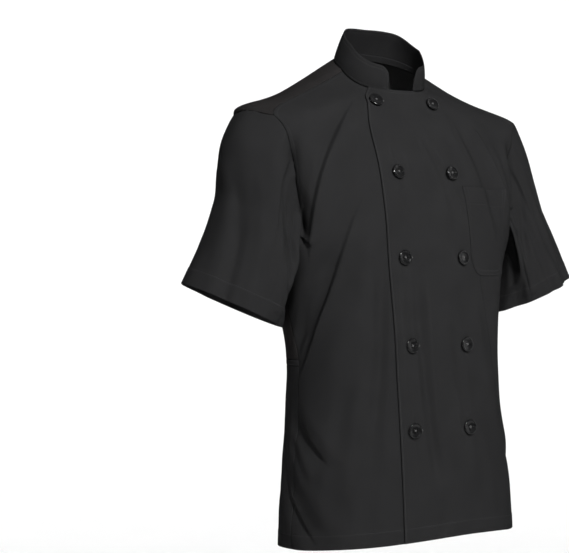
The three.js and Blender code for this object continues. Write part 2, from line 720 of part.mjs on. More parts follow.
// Buttons: a rimmed disc with a dished middle on a short thread shank
function buttonGeometry() {
  const { radius, height, rim, dish, shank, segments } = BUTTON;
  const profile = [
    { r: shank, h: BUTTON_GAP },
    { r: shank, h: 1.3 },
    { r: radius - 1, h: 1.5 },
    { r: radius, h: 2.4 },
    { r: radius - 0.5, h: height - 0.4 },
    { r: radius - 1.3, h: height },
    { r: radius - rim, h: height - 0.4 },
    { r: radius - rim - 1, h: height - dish },
  ];
  const positions = [];
  const faces = [];
  for (const { r, h } of profile) {
    for (let j = 0; j < segments; j += 1) {
      const angle = (2 * Math.PI * j) / segments;
      positions.push(r * Math.cos(angle), r * Math.sin(angle), h);
    }
  }
  const rings = profile.length;
  const low = rings * segments;
  const high = low + 1;
  positions.push(0, 0, profile[0].h, 0, 0, profile[rings - 1].h);
  for (let j = 0; j < segments; j += 1) {
    const next = (j + 1) % segments;
    for (let i = 0; i < rings - 1; i += 1) {
      const a = i * segments;
      const b = a + segments;
      faces.push(a + j, a + next, b + next, a + j, b + next, b + j);
    }
    faces.push(low, next, j);
    faces.push(high, (rings - 1) * segments + j, (rings - 1) * segments + next);
  }
  const geometry = new THREE.BufferGeometry();
  geometry.setAttribute("position", new THREE.Float32BufferAttribute(positions, 3));
  geometry.setIndex(faces);
  return geometry;
}

function buttonAt(turn, v) {
  const at = over(turn, v);
  const n = normalOf(over, turn, v);
  const up = new THREE.Vector3(0, 0, 1);
  const round = up.clone().cross(n).normalize();
  const rise = n.clone().cross(round);
  const place = new THREE.Matrix4().makeBasis(round, rise, n).setPosition(at);
  return buttonGeometry().applyMatrix4(place);
}

BUTTON_ROWS.forEach((row, i) => {
  add(`button_right_${i + 1}`, buttonAt(row.right, row.v), "button");
  add(`button_left_${i + 1}`, buttonAt(row.left, row.v), "button");
});

export default group;
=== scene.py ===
import math

import bpy
import numpy as np
from mathutils import Matrix


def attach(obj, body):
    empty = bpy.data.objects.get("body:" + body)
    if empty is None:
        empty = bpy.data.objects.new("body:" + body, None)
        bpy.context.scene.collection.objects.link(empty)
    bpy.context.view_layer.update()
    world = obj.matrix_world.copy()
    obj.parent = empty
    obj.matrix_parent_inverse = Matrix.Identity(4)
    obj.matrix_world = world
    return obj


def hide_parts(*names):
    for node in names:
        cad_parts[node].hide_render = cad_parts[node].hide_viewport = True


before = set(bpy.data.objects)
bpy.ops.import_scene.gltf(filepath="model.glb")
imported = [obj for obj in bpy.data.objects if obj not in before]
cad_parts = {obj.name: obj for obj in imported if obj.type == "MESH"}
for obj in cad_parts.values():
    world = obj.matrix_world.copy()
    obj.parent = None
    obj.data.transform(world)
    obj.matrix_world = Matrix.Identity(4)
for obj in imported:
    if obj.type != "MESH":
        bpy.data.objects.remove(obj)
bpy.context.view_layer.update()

# Looks of a short-sleeved double-breasted kitchen jacket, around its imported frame. Shapes are worked
# out in millimetres, with the body rings, armholes and folds of the solids, and turned into metres
# when a mesh is made. The front faces -Y and the wearer's left is +X.

MM = 0.001

# Cloth shells, millimetres
SHELL = 0.9
COLLAR_SHELL = 2.0
COLLAR_THINNING = 0.9
LAP_LIFT = 2.2
SEAM_GAP = 0.3
HEM_EXTRA = 0.8
LIP_WIDE = 3.2
LIP_HIGH = 0.9
LIP_SOFT = 0.9

# Bands of extra layers beside an edge, as (width, height)
HEM_BAND = (20, 0.45)
FACING_BAND = (26, 0.35)
SLEEVE_BAND = (24, 0.5)
POCKET_BAND = (26, 0.35)
PEN_BAND = (20, 0.3)

# How edges turn under at seams, as (width, depth)
SEAM_ROLL = (2.0, 1.1)
EDGE_ROLL = (1.2, 0.5)
ARM_ROLL = (1.6, 0.5)
COLLAR_ROLL = (2.0, 1.0)
COLLAR_BASE_ROLL = (1.5, 0.6)
POCKET_ROLL = (1.6, 0.8)

# Stitch lines, millimetres from the edge that each one follows
STITCH_FAR = 60.0
HEM_STITCH = 19.0
SLEEVE_STITCH = 23.0
ARM_STITCH = 5.5
LAP_STITCH = 2.2
NECK_STITCH = 5.0
BAND_STITCH = 1.6
COLLAR_STITCH = 5.0
COLLAR_BASE_STITCH = 3.0
POCKET_STITCHES = (2.5, 8.0)
POCKET_HEM_STITCH = 25.0
PEN_HEM_STITCH = 19.0

# Grid lines of the shells
FRONT_ROWS = (150, 84, 24)
BACK_ROWS = (54, 80, 22)
LOWER_ROWS = 96
LAP_COLUMNS = 56
FRONT_COLUMNS = 92
BACK_COLUMNS = 180
SLEEVE_STATIONS = 150
SLEEVE_ROWS = 92
COLLAR_COLUMNS = 170
COLLAR_ROWS = 26
STRIP_STATIONS = 150
STRIP_ROWS = 7

# Heights are shares of the way from hem to neck, and turns are degrees from the centre front
SIDE_SEAM = 90.0
SIDE_TOP = 0.615
BAND_LOW = 0.38
BAND_HIGH = 0.392
FRONT_ARM_TOP = 0.9
BACK_ARM_TOP = 0.905
SHOULDER_SEAM_OUT = 78.0
SHOULDER_SEAM_IN = 86.0
SHOULDER_POINT = 0.872
ROW_LEVEL = 0.45
NECK_CURVES_FROM = 0.92
HEM_LIFT_TOP = 0.3
SMOOTH_NECK = (0.93, 0.985)

# The lap of the fronts: half widths in millimetres, and the heights and turns that bound them
LAP_HALF = 68.0
LAP_HALF_CHEST = 72.0
LAP_HALF_NECK = 58.0
LAP_CHEST = (0.4, 0.65)
LAP_NECK = (0.88, 1)
LAP_TURNS = (5.0, 70.0)
LAP_TURN_LIMIT = 50
RAMP_AFTER = 3.0
RAMP_RUN = 22.0

RING_COLUMNS = ("v", "zf", "zs", "zb", "a", "yf", "ys", "yb", "n")
RINGS = (
    (0.0, -661, -661, -661, 172, -153, -34, 81, 2.35),
    (0.12, -580, -580, -580, 169, -147, -32, 83, 2.35),
    (0.25, -500, -500, -500, 162, -141, -30, 80, 2.3),
    (0.38, -415, -415, -415, 158, -134, -26, 80, 2.25),
    (0.5, -330, -330, -330, 166, -127, -16, 94, 2.25),
    (0.63, -242, -242, -242, 194, -116, -6, 110, 2.35),
    (0.76, -158, -158, -145, 220, -98, 0, 115, 2.45),
    (0.87, -104, -75, -73, 227, -76, 4, 103, 2.35),
    (0.94, -68, -47, -26, 152, -60, 7, 87, 2.2),
    (1.0, -41, -8, 17, 66, -45, 8, 70, 2.0),
)

# How far the hem lies above its lowest ring, by turn
HEM_LIFTS = (
    (-180, 4), (-120, 1), (-90, 3), (-60, 9.5), (-30, 15), (-10, 18), (20, 20), (40, 18.4),
    (60, 14), (90, 10), (120, 7), (180, 4),
)

# Armhole edges as (turn, height share), from the underarm to the shoulder seam
ARM_FRONT = (
    (90, 0.615), (84, 0.62), (78, 0.634), (73.5, 0.658), (71, 0.7), (71, 0.76),
    (72, 0.8), (73.5, 0.83), (75.5, 0.854), (78, 0.872),
)
ARM_BACK = (
    (90, 0.615), (97, 0.621), (104, 0.64), (109, 0.675), (111.5, 0.72), (112, 0.76),
    (111, 0.805), (107.5, 0.838), (101, 0.8585), (90, 0.869), (84, 0.8712), (78, 0.872),
)

# Body folds, each from (turn, height share) to (turn, height share), then bow, half width and depth
# in millimetres. A negative width marks a crease, and the sign of its depth the raised side.
LARGE_FOLDS = (
    (-58, 0.93, -67, 0.69, 6, 15, 4.0),
    (-50, 0.69, -86, 0.37, -14, 20, 5.5),
    (-62, 0.6, -90, 0.42, -4, 13, 3.5),
    (-36, 0.62, -50, 0.22, -6, 17, 3.5),
    (-92, 0.28, -68, 0.16, 0, 13, 3.5),
    (-98, 0.17, -70, 0.0, 4, 16, 4.0),
    (-20, 0.6, -5, 0.1, 8, 18, 3.0),
    (38, 0.54, 58, 0.26, -4, 15, 3.5),
    (50, 0.92, 58, 0.64, 8, 16, 4.0),
    (66, 0.61, 88, 0.4, 8, 17, 4.5),
    (62, 0.2, 80, 0.0, -4, 18, 3.5),
    (76, 0.6, 74, 0.26, 0, 34, 6.5),
    (-72, 0.82, -70, 0.66, 0, 10, 5.0),
    (72, 0.82, 70, 0.66, 0, 9, 3.5),
    (122, 0.72, 112, 0.44, 8, 17, 4.5),
    (150, 0.56, 128, 0.41, 4, 15, 3.5),
    (158, 0.385, 152, 0.1, 3, 17, 4.0),
    (-158, 0.39, -150, 0.06, 4, 19, 4.0),
    (-124, 0.73, -112, 0.44, -8, 17, 4.5),
    (-150, 0.58, -126, 0.41, -4, 15, 3.5),
    (118, 0.36, 106, 0.08, -6, 18, 4.0),
    (-116, 0.36, -108, 0.1, 6, 18, 4.0),
)
FINE_FOLDS = (
    # wearer's right front
    (-57.5, 0.92, -69.5, 0.61, -2, -15, -5.6),
    (-69, 0.72, -72, 0.62, -1, 5, 4.2),
    (-77, 0.648, -68.5, 0.612, 1, -7, -4.2),
    (-66, 0.84, -71, 0.70, -2, 6, 1.6),
    (-50.5, 0.67, -88, 0.37, -9, -24, -5.0),
    (-60, 0.60, -80, 0.49, -3, 9, 2.4),
    (-66, 0.53, -89, 0.42, -3, 6, 1.9),
    (-77, 0.50, -91, 0.39, 2, 5, 1.4),
    (-88, 0.275, -71, 0.185, 1, -11, -2.4),
    (-94, 0.23, -80, 0.13, -2, 6, 1.3),
    (-96, 0.135, -75, 0.015, 3, -12, -2.4),
    (-38, 0.58, -48, 0.2, 0, 8, 2.4),
    (-60, 0.36, -66, 0.08, 4, 10, 1.5),
    (-44, 0.22, -52, 0.02, 3, 10, 1.4),
    # wearer's left front
    (-14, 0.565, -6, 0.14, 8, 9, 3.2),
    (-12, 0.33, -8, 0.2, 2, -10, 1.4),
    (12, 0.5, 20, 0.2, -5, 10, 1.2),
    (8, 0.86, 22, 0.66, -6, 9, 1.4),
    (-24, 0.85, -14, 0.64, 4, 9, 1.1),
    (39, 0.535, 55, 0.26, -4, -13, 2.9),
    (50, 0.90, 55, 0.64, 7, 7, 2.3),
    (58, 0.88, 64, 0.69, 4, -11, 3.9),
    (65, 0.83, 67, 0.66, 2, 5, 2.2),
    (66, 0.70, 77, 0.675, 1, -7, -3.6),
    (70, 0.60, 60, 0.55, -2, -8, 2.0),
    (67, 0.60, 87, 0.41, 7, -14, 3.0),
    (76, 0.52, 90, 0.4, 2, 6, 1.5),
    (64, 0.19, 79, 0.02, -4, 8, 1.4),
    (28, 0.24, 36, 0.02, 3, 11, 1.3),
    (2, 0.1, -4, 0.0, 0, 10, 1.0),
    # back
    (112, 0.66, 126, 0.575, 2, -10, 4.0),
    (110, 0.61, 128, 0.53, 2, -9, 3.2),
    (-112, 0.66, -127, 0.57, -2, -10, -4.0),
    (-110, 0.605, -130, 0.52, -2, -9, -3.2),
    (124, 0.38, 121, 0.12, 2, -13, 3.4),
    (158, 0.378, 151, 0.25, 2, -11, 3.8),
    (155, 0.275, 166, 0.262, 1, 5, 2.2),
    (-168, 0.378, -164, 0.2, -3, -11, -2.8),
    (-132, 0.378, -126, 0.16, 3, -12, 3.2),
    (-145, 0.55, -126, 0.43, -3, 7, 2.6),
    (144, 0.55, 128, 0.42, 3, 7, 2.6),
    (172, 0.62, 160, 0.44, 4, 10, 2.8),
    (-172, 0.83, -150, 0.74, 6, 11, 2.4),
    (165, 0.84, 140, 0.76, -6, 11, 2.4),
    (104, 0.34, 98, 0.1, -3, 8, 1.7),
    (-102, 0.35, -97, 0.13, 3, 8, 1.6),
)

# The scale that folds are measured with, and half the run of a crease's steep side, millimetres
FOLD_MM_PER_DEGREE = 2.7
BODY_HEIGHT = 661.0
CREASE_EDGE = 1.8

# Slow waves as (size in millimetres, waves all round, phase gained lengthwise, start phase)
RIPPLES = ((0.7, 3, 9, 0.7), (0.55, 7, -14, 2.1), (0.42, 11, 23, 4.0), (0.3, 17, -31, 0.0))
SLEEVE_RIPPLES = ((0.3, 5, 7, 0.0), (0.25, 9, -11, 0.0))
COLLAR_RIPPLES = ((0.5, 5, 0, 1.3), (0.35, 9, 0, 0.4))

# Small gathers above and below the waist band, as (size, reach) in millimetres
GATHERS_ABOVE = (0.9, 20)
GATHERS_BELOW = (0.45, 14)

# The hollow beside the lower half of each front armhole: turns, depth in millimetres, heights
HOLLOW_TURN = 72
HOLLOW_WIDE = 2.1
HOLLOW_DEEP = 13.0
HOLLOW_LOW = (0.6, 0.66)
HOLLOW_HIGH = (0.77, 0.86)
HOLLOW_END = 0.05

# Sleeves
SLEEVES = (
    {
        "name": "sleeve_right", "side": -1, "hem_x": 244, "hem_z": -333,
        "pitch": 0.15, "drape": 1.0, "fill": 10,
    },
    {
        "name": "sleeve_left", "side": 1, "hem_x": 258, "hem_z": -322,
        "pitch": -0.06, "drape": 0.35, "fill": 6,
    },
)
SLEEVE_TILT = math.radians(22.5)
SLEEVE_ACROSS = 72.0
SLEEVE_DEEP = 63.0
SLEEVE_HEM_Y = 1.0
SLEEVE_LIFT = 0.7
SLEEVE_EASE = 0.5
SLEEVE_BELL = 5.0
SLEEVE_MM_PER_DEGREE = 1.15
ARM_X = 226.0
ARM_Y = 2.0
ARM_Z = -158.0
ARM_WIDE = 62.0
ARM_TALL = 85.0
AXIS_X = 215.0
FILL_ANGLE = math.radians(118)
SLEEVE_DRAPE = (
    (0, 0), (0.05, 4), (0.16, 7.5), (0.33, -0.5), (0.52, -12), (0.64, -12), (0.78, -9),
    (0.9, -4), (1, 0),
)
# Sleeve folds: turn from the outer line in degrees, start and end as shares of the way to the hem,
# drift in degrees, then half width and depth in millimetres
SLEEVE_LARGE = (
    (1, 0.12, 1.05, 54, 14, 4.0),
    (84, 0.1, 1.05, 55, 11, 3.0),
    (136, 0.25, 1.0, 4, 10, 2.5),
    (-60, 0.15, 1.05, -8, 16, 3.5),
    (-105, 0.25, 1.0, 6, 13, 3.0),
)
SLEEVE_FINE = {
    "sleeve_right": (
        (-2, 0.25, 1.05, 54, 7, 1.9),
        (20, 0.45, 1.05, 50, 7, 0.9),
        (45, 0.5, 1.05, 50, 9, 0.8),
        (80, 0.06, 1.05, 58, 4, 1.9),
        (93, 0.08, 0.95, 55, 4, 1.7),
        (122, 0.15, 1.0, 6, 5, 1.4),
        (140, 0.1, 0.8, 4, 5, 1.3),
        (112, 0.02, 0.95, 4, 10, -1.5),
        (-30, 0.3, 1.05, -6, 8, 1.0),
        (-64, 0.12, 1.05, -8, 7, 2.4),
        (-88, 0.2, 1.05, 6, 6, 2.2),
        (-118, 0.15, 0.9, 5, 6, 2.2),
    ),
    "sleeve_left": (
        (24, 0.25, 1.05, 8, 7, 1.1),
        (46, 0.15, 1.05, 6, 6, 2.0),
        (70, 0.4, 1.05, -6, 6, 1.9),
        (92, 0.12, 1.05, -4, 6, 2.1),
        (120, 0.15, 1.0, 8, 6, 1.5),
        (142, 0.1, 0.7, 4, 5, 1.2),
        (116, 0.02, 0.95, 4, 13, -1.5),
        (-26, 0.35, 1.05, -6, 8, 1.0),
        (-58, 0.15, 1.05, -6, 7, 2.4),
        (-92, 0.2, 1.05, 6, 6, 2.2),
        (-120, 0.15, 0.9, 5, 6, 2.2),
    ),
}

# Collar: sizes in millimetres, rises as (turn, rise), ends as turns
NECK_WIDE = 66.0
NECK_DEEP = 57.5
NECK_Y = 12.5
COLLAR_WIDE = 58.0
COLLAR_DEEP = 51.0
COLLAR_Y = -3.0
COLLAR_RISES = ((0, 33), (90, 31), (135, 38.5), (180, 37))
COLLAR_LEFT_END = 20.0
COLLAR_RIGHT_END = 24.0
COLLAR_ROUND = 25.0
LIP_END = 30
COLLAR_END_HIGH = 0.16
COLLAR_BULGE = 1.2
COLLAR_CROWDING = 0.09

# Strips behind the seams
STRIP_HALF = 5.0
STRIP_IN = 0.35
STRIP_WALL = 0.5
BACKING_TURNS = (93, 267)
BACKING_EDGE = 0.007

# Pockets
CHEST_TURNS = (31.0, 61.0)
CHEST_HEIGHTS = (0.551, 0.735)
CHEST_CORNER = 0.2
PEN_ANGLES = (14.0, -38.0)
PEN_ALONG = (0.84, 0.38)
CHEST_COLUMNS = 44
CHEST_ROWS = 52
PEN_COLUMNS = 30
PEN_ROWS = 44
POCKET_STAND = 0.95
CHEST_PUFF = 0.7
CHEST_SAG = 1.1
PEN_PUFF = 0.5

# Buttons as (height share, turn on the wearer's right, turn on the wearer's left)
BUTTON_ROWS = (
    (0.957, -40, 36), (0.764, -25, 24), (0.588, -24, 23), (0.42, -23, 23.5), (0.25, -24, 22),
)
BUTTON_PROFILE = (
    (0.0, 1.25), (3.0, 1.25), (6.0, 1.35), (8.6, 1.6), (9.5, 2.0), (9.9, 2.5), (10.0, 3.0),
    (9.85, 3.55), (9.4, 4.0), (8.8, 4.2), (8.2, 4.15), (7.7, 3.95), (7.0, 3.68), (6.2, 3.45),
    (5.2, 3.25), (4.2, 3.12), (3.2, 3.06), (2.0, 3.03), (0.0, 3.02),
)
BUTTON_SEGMENTS = 56
HOLES = 4
HOLE_OFFSET = 2.1
HOLE_RADIUS = 0.85
HOLE_HEIGHTS = (0.6, 3.6)
THREAD_RADIUS = 0.26
THREAD_TOP = 3.42
THREAD_DROP = 1.7
SHANK_RADIUS = 1.9
SHANK_TURNS = 5
SHANK_THICK = 0.3
BUTTONHOLE_HALF = 10.6
BUTTONHOLE_WIDE = 1.15
BUTTONHOLE_THICK = 0.62
BUTTONHOLE_STITCHES = 48
BUTTONHOLE_LIFT = 0.25
BUTTONHOLE_ASIDE = 0.9

# Looks: dark and light of each surface, between which random tone and the weave's painted shade are
# mixed, roughness, and for the net a lighter inner side: painted light that stands in for light coming
# through the net.
TWILL_LOOK = {"dark": (0.0040, 0.0040, 0.0041), "light": (0.0087, 0.0087, 0.0089), "roughness": 0.62}
NET_LOOK = {
    "dark": (0.0015, 0.0015, 0.0015), "light": (0.0090, 0.0084, 0.0084), "roughness": 0.75,
    # painted light on the net's inner side
    "inner": (0.02, 0.02, 0.02),
}
CLOTH_SHEEN = 0.001
BUTTON_DARK = (0.0005, 0.0005, 0.0006)
BUTTON_LIGHT = (0.0012, 0.0012, 0.0013)
BUTTON_ROUGHNESS = (0.1, 0.15)
BUTTON_SHINE = 0.14
# The topstitching thread is painted lighter than the cloth: painted sheen of the thread.
THREAD_PAINTED_SHEEN = 1.4
STITCH_LENGTH = 3.2 * MM
TWILL_RIB = 1.0 * MM
TWILL_YARN = 0.7 * MM
NET_RIB = 2.6 * MM
NET_BEND = 0.36 * MM
NET_SWING = 3.4 * MM
NET_BAR = 1.7 * MM


def mix(a, b, share):
    return a + (b - a) * share


def smooth(low, high, value):
    share = np.clip((np.asarray(value, float) - low) / (high - low), 0, 1)
    return share * share * (3 - 2 * share)


def curve(x, y):
    """A function through points that never overshoots them."""
    x, y = np.asarray(x, float), np.asarray(y, float)
    steps, rises = np.diff(x), np.diff(y) / np.diff(x)
    slopes = np.zeros(len(x))
    same = rises[:-1] * rises[1:] > 0
    before, after = 2 * steps[1:] + steps[:-1], steps[1:] + 2 * steps[:-1]
    inner = np.zeros(len(x) - 2)
    weights = before[same] / rises[:-1][same] + after[same] / rises[1:][same]
    inner[same] = (before + after)[same] / weights
    slopes[1:-1] = inner
    slopes[0], slopes[-1] = rises[0], rises[-1]

    def at(value):
        value = np.clip(np.asarray(value, float), x[0], x[-1])
        i = np.clip(np.searchsorted(x, value, side="left") - 1, 0, len(x) - 2)
        h = steps[i]
        s = (value - x[i]) / h
        return (
            y[i] * (1 + 2 * s) * (1 - s) ** 2
            + slopes[i] * h * s * (1 - s) ** 2
            + y[i + 1] * s * s * (3 - 2 * s)
            + slopes[i + 1] * h * s * s * (s - 1)
        )

    return at


def wrap(turn):
    return (np.asarray(turn, float) + 540) % 360 - 180


def waves(rows, around, up):
    return sum(size * np.sin(m * around + n * up + start) for size, m, n, start in rows)


hem_lift = curve(*zip(*HEM_LIFTS))
drape_out = curve(*zip(*SLEEVE_DRAPE))
collar_rise = curve(*zip(*COLLAR_RISES))
ring_rows = np.array(RINGS, float)
ring = {name: curve(ring_rows[:, 0], ring_rows[:, i]) for i, name in enumerate(RING_COLUMNS) if i}


def body_form(turn, v):
    """The plain body form, millimetres."""
    turn, v = np.broadcast_arrays(np.asarray(turn, float), np.asarray(v, float))
    s, c = np.sin(np.radians(turn)), np.cos(np.radians(turn))
    side = ring["ys"](v)
    front = c > 0
    reach = np.where(front, side - ring["yf"](v), ring["yb"](v) - side)
    n = ring["n"](v)
    r = (np.abs(s / ring["a"](v)) ** n + np.abs(c / reach) ** n) ** (-1 / n)
    inward = np.minimum(1, np.abs(r * c) / reach)
    power = np.where(front, 1.6, 1.2)
    dip = mix(inward**2, 1 - (1 - inward) ** power, smooth(NECK_CURVES_FROM, 1, v))
    edge = np.where(front, ring["zf"](v), ring["zb"](v))
    lift = hem_lift(wrap(turn)) * (1 - smooth(0, HEM_LIFT_TOP, v))
    return np.stack([r * s, side - r * c, mix(ring["zs"](v), edge, dip) + lift], -1)


def unit(vectors):
    return vectors / np.maximum(np.linalg.norm(vectors, axis=-1, keepdims=True), 1e-12)


def normal_of(surface, turn, v):
    turn, v = np.broadcast_arrays(np.asarray(turn, float), np.asarray(v, float))
    low, high = np.maximum(0, v - 0.002), np.minimum(1, v + 0.002)
    around = surface(turn + 0.25, v) - surface(turn - 0.25, v)
    return unit(np.cross(around, surface(turn, high) - surface(turn, low)))


def trough(d):
    """A soft trough with low ridges beside it."""
    return 0.45 * np.exp(-(((d - 1.7) / 0.8) ** 2)) - np.exp(-d * d)


def crease(off, wide):
    """A ridge with one steep side: the cloth lies up to a sharp line and drops off past it."""
    raised = np.exp(-((off / wide) ** 2))
    sunk = -0.5 * np.exp(-((off / (0.45 * wide)) ** 2))
    return mix(sunk, raised, smooth(-CREASE_EDGE, CREASE_EDGE, off))


def fold_sum(rows, turn, v):
    """Moves of all folds of a table, along the normal."""
    total = np.zeros(np.broadcast(turn, v).shape)
    for t0, v0, t1, v1, bow, wide, deep in rows:
        du, dv = wrap(t1 - t0) * FOLD_MM_PER_DEGREE, (v1 - v0) * BODY_HEIGHT
        along, aside = wrap(turn - t0) * FOLD_MM_PER_DEGREE, (v - v0) * BODY_HEIGHT
        run = math.hypot(du, dv)
        share = (along * du + aside * dv) / run**2
        held = np.clip(share, 0, 1)
        off = (along * dv - aside * du) / run - bow * 4 * held * (1 - held)
        ends = smooth(-0.15, 0.25, share) * (1 - smooth(0.75, 1.15, share))
        if wide > 0:
            total += deep * ends * trough(np.abs(off) / wide)
        else:
            total += abs(deep) * ends * crease(math.copysign(1, deep) * off, -wide)
    return total


def gathers(turn, v):
    """Small gathers above and below the waist band, on the back."""
    a = np.radians(turn)
    on_back = smooth(92, 108, np.abs(wrap(turn)))
    (size_above, reach_above), (size_below, reach_below) = GATHERS_ABOVE, GATHERS_BELOW
    above = np.exp(-np.maximum(0, v - BAND_HIGH) * BODY_HEIGHT / reach_above) * (v >= BAND_HIGH - 1e-6)
    below = np.exp(-np.maximum(0, BAND_LOW - v) * BODY_HEIGHT / reach_below) * (v <= BAND_LOW + 1e-6)
    pleats = np.sin(61 * a + 2 * np.sin(7 * a)) * (0.6 + 0.4 * np.sin(13 * a + 1))
    return on_back * pleats * (size_above * above + size_below * below)


def arm_hollow(turn, v):
    """The cloth sinks in beside the lower half of each front armhole."""
    near = np.exp(-(((np.abs(wrap(turn)) - HOLLOW_TURN) / HOLLOW_WIDE) ** 2))
    return -HOLLOW_DEEP * near * smooth(*HOLLOW_LOW, v) * (1 - smooth(*HOLLOW_HIGH, v))


def body_move(turn, v):
    folds = fold_sum(LARGE_FOLDS, turn, v) + fold_sum(FINE_FOLDS, turn, v)
    slow = waves(RIPPLES, np.radians(turn), v) + gathers(turn, v)
    return (folds + slow + arm_hollow(turn, v)) * (1 - smooth(*SMOOTH_NECK, v))


def find_lap_edge(v):
    chest = mix(LAP_HALF, LAP_HALF_CHEST, smooth(*LAP_CHEST, v))
    half = mix(chest, LAP_HALF_NECK, smooth(*LAP_NECK, v))
    low, high = (np.full(np.shape(v), end) for end in LAP_TURNS)
    for _ in range(30):
        middle = (low + high) / 2
        inside = body_form(middle, v)[..., 0] < half
        low, high = np.where(inside, middle, low), np.where(inside, high, middle)
    return np.minimum(low, LAP_TURN_LIMIT)


lap_heights = np.linspace(0, 1, 41)
lap_edge = curve(lap_heights, find_lap_edge(lap_heights))


def over_layer(turn, v):
    start = lap_edge(v) + RAMP_AFTER
    return LAP_LIFT * (1 - smooth(0, 1, (turn - start) / RAMP_RUN))


def cloth(layer):
    def at(turn, v):
        turn, v = np.broadcast_arrays(np.asarray(turn, float), np.asarray(v, float))
        move = body_move(turn, v) + layer(turn, v)
        return body_form(turn, v) + normal_of(body_form, turn, v) * move[..., None]

    return at


under = cloth(lambda turn, v: 0.0 * turn)
over = cloth(over_layer)


def edge_path(table):
    """Evenly spaced places along an armhole edge: a function of the share of its length."""
    rows = np.array(table, float)
    index = np.arange(len(rows))
    t_at, v_at = curve(index, rows[:, 0]), curve(index, rows[:, 1])
    fine = np.linspace(0, len(rows) - 1, 601)
    points = body_form(t_at(fine), v_at(fine))
    run = np.concatenate([[0], np.cumsum(np.linalg.norm(np.diff(points, axis=0), axis=1))])

    def at(share):
        place = np.interp(np.asarray(share) * run[-1], run, fine)
        return t_at(place), v_at(place)

    return at


arm_front = edge_path(ARM_FRONT)
arm_back = edge_path(ARM_BACK)


# Grids of places on the body, and what can be measured on a grid of points

def ends_dense(count, start=True, end=True):
    """Shares from 0 to 1 with a few extra close to each end, where an edge rolls under."""
    extra = np.array([0.0015, 0.004, 0.009])
    parts = [np.linspace(0, 1, count)]
    if start:
        parts.append(extra)
    if end:
        parts.append(1 - extra)
    return np.unique(np.concatenate(parts))


def side_rows(heights):
    return np.stack([np.full(len(heights), SIDE_SEAM), heights, heights], -1)


def arm_rows(path, count, inner_top):
    share = np.linspace(0, 1, count + 1)[1:]
    t, v = path(share)
    level = (v - SIDE_TOP) / (SHOULDER_POINT - SIDE_TOP)
    return np.stack([t, v, mix(SIDE_TOP, inner_top, mix(share, level, ROW_LEVEL))], -1)


def shoulder_rows(count, inner_start):
    share = ends_dense(count + 1, start=False)[1:]
    t = mix(SHOULDER_SEAM_OUT, SHOULDER_SEAM_IN, share)
    return np.stack([t, mix(SHOULDER_POINT, 1, share), mix(inner_start, 1, share)], -1)


def front_places(side):
    low, arm, shoulder = FRONT_ROWS
    rows = np.concatenate([
        side_rows(ends_dense(low, end=False) * SIDE_TOP),
        arm_rows(arm_front, arm, FRONT_ARM_TOP), shoulder_rows(shoulder, FRONT_ARM_TOP),
    ])
    lap = ends_dense(LAP_COLUMNS, end=False)[None]
    out = ends_dense(FRONT_COLUMNS, start=False)[None, 1:]
    edge = lap_edge(rows[:, 2])[:, None]
    t = np.concatenate([mix(-edge, edge, lap), mix(edge, rows[:, :1], out)], 1)
    v = np.concatenate([
        np.repeat(rows[:, 2:3], lap.shape[1], 1), mix(rows[:, 2:3], rows[:, 1:2], out**1.3),
    ], 1)
    return (t, v) if side > 0 else (-t[:, ::-1], v[:, ::-1])


def back_places(rows):
    share = 2 * ends_dense(BACK_COLUMNS)[None] - 1
    t = 180 + (180 - rows[:, :1]) * share
    return t, mix(rows[:, 2:3], rows[:, 1:2], np.abs(share) ** 1.6)


def lengths(points, axis):
    """Running length along one axis of a grid of points."""
    steps = np.linalg.norm(np.diff(points, axis=axis), axis=-1)
    start = np.zeros_like(np.take(steps, [0], axis=axis))
    return np.concatenate([start, np.cumsum(steps, axis=axis)], axis=axis)


def grid_normals(points, closed=False):
    if closed:
        around = np.roll(points, -1, 1) - np.roll(points, 1, 1)
    else:
        around = np.gradient(points, axis=1)
    return unit(np.cross(around, np.gradient(points, axis=0)))


def edge_distances(points):
    """Distance in millimetres from each point to the first and last column and row."""
    across, up = lengths(points, 1), lengths(points, 0)
    return {
        "first": across, "last": across[:, -1:] - across,
        "low": up, "high": up[-1:] - up,
    }


def roll_edges(points, normals, distances, edges, roll):
    """Lets named edges sink a little, as a turned seam does."""
    width, depth = roll
    sink = np.zeros(points.shape[:2])
    for name in edges:
        near = np.clip(1 - distances[name] / width, 0, 1)
        sink = np.maximum(sink, depth * (1 - np.sqrt(1 - near**2)))
    return points - normals * sink[..., None]


def band(distance, width, height, soft=1.5):
    """A raised band next to an edge, such as a hem's extra layers."""
    return height * (1 - smooth(width - soft, width + soft, distance))


def nearest(*lines):
    """The stitch line that is nearest at each point, as a signed distance."""
    stack = np.stack(lines)
    return np.take_along_axis(stack, np.abs(stack).argmin(0)[None], 0)[0]


# Meshes

def make_mesh(name, vertices, faces, uv=None, attributes=None):
    mesh = bpy.data.meshes.new(name)
    mesh.from_pydata((np.asarray(vertices) * MM).tolist(), [], faces)
    mesh.polygons.foreach_set("use_smooth", np.ones(len(mesh.polygons), bool))
    if uv is not None:
        layer = mesh.uv_layers.new(name="cloth")
        index = np.empty(len(mesh.loops), np.int64)
        mesh.loops.foreach_get("vertex_index", index)
        layer.data.foreach_set("uv", np.asarray(uv)[index].astype(np.float32).ravel())
    for key, values in (attributes or {}).items():
        attribute = mesh.attributes.new(key, "FLOAT", "POINT")
        attribute.data.foreach_set("value", np.asarray(values, np.float32))
    mesh.update()
    obj = bpy.data.objects.new(name, mesh)
    bpy.context.scene.collection.objects.link(obj)
    return obj


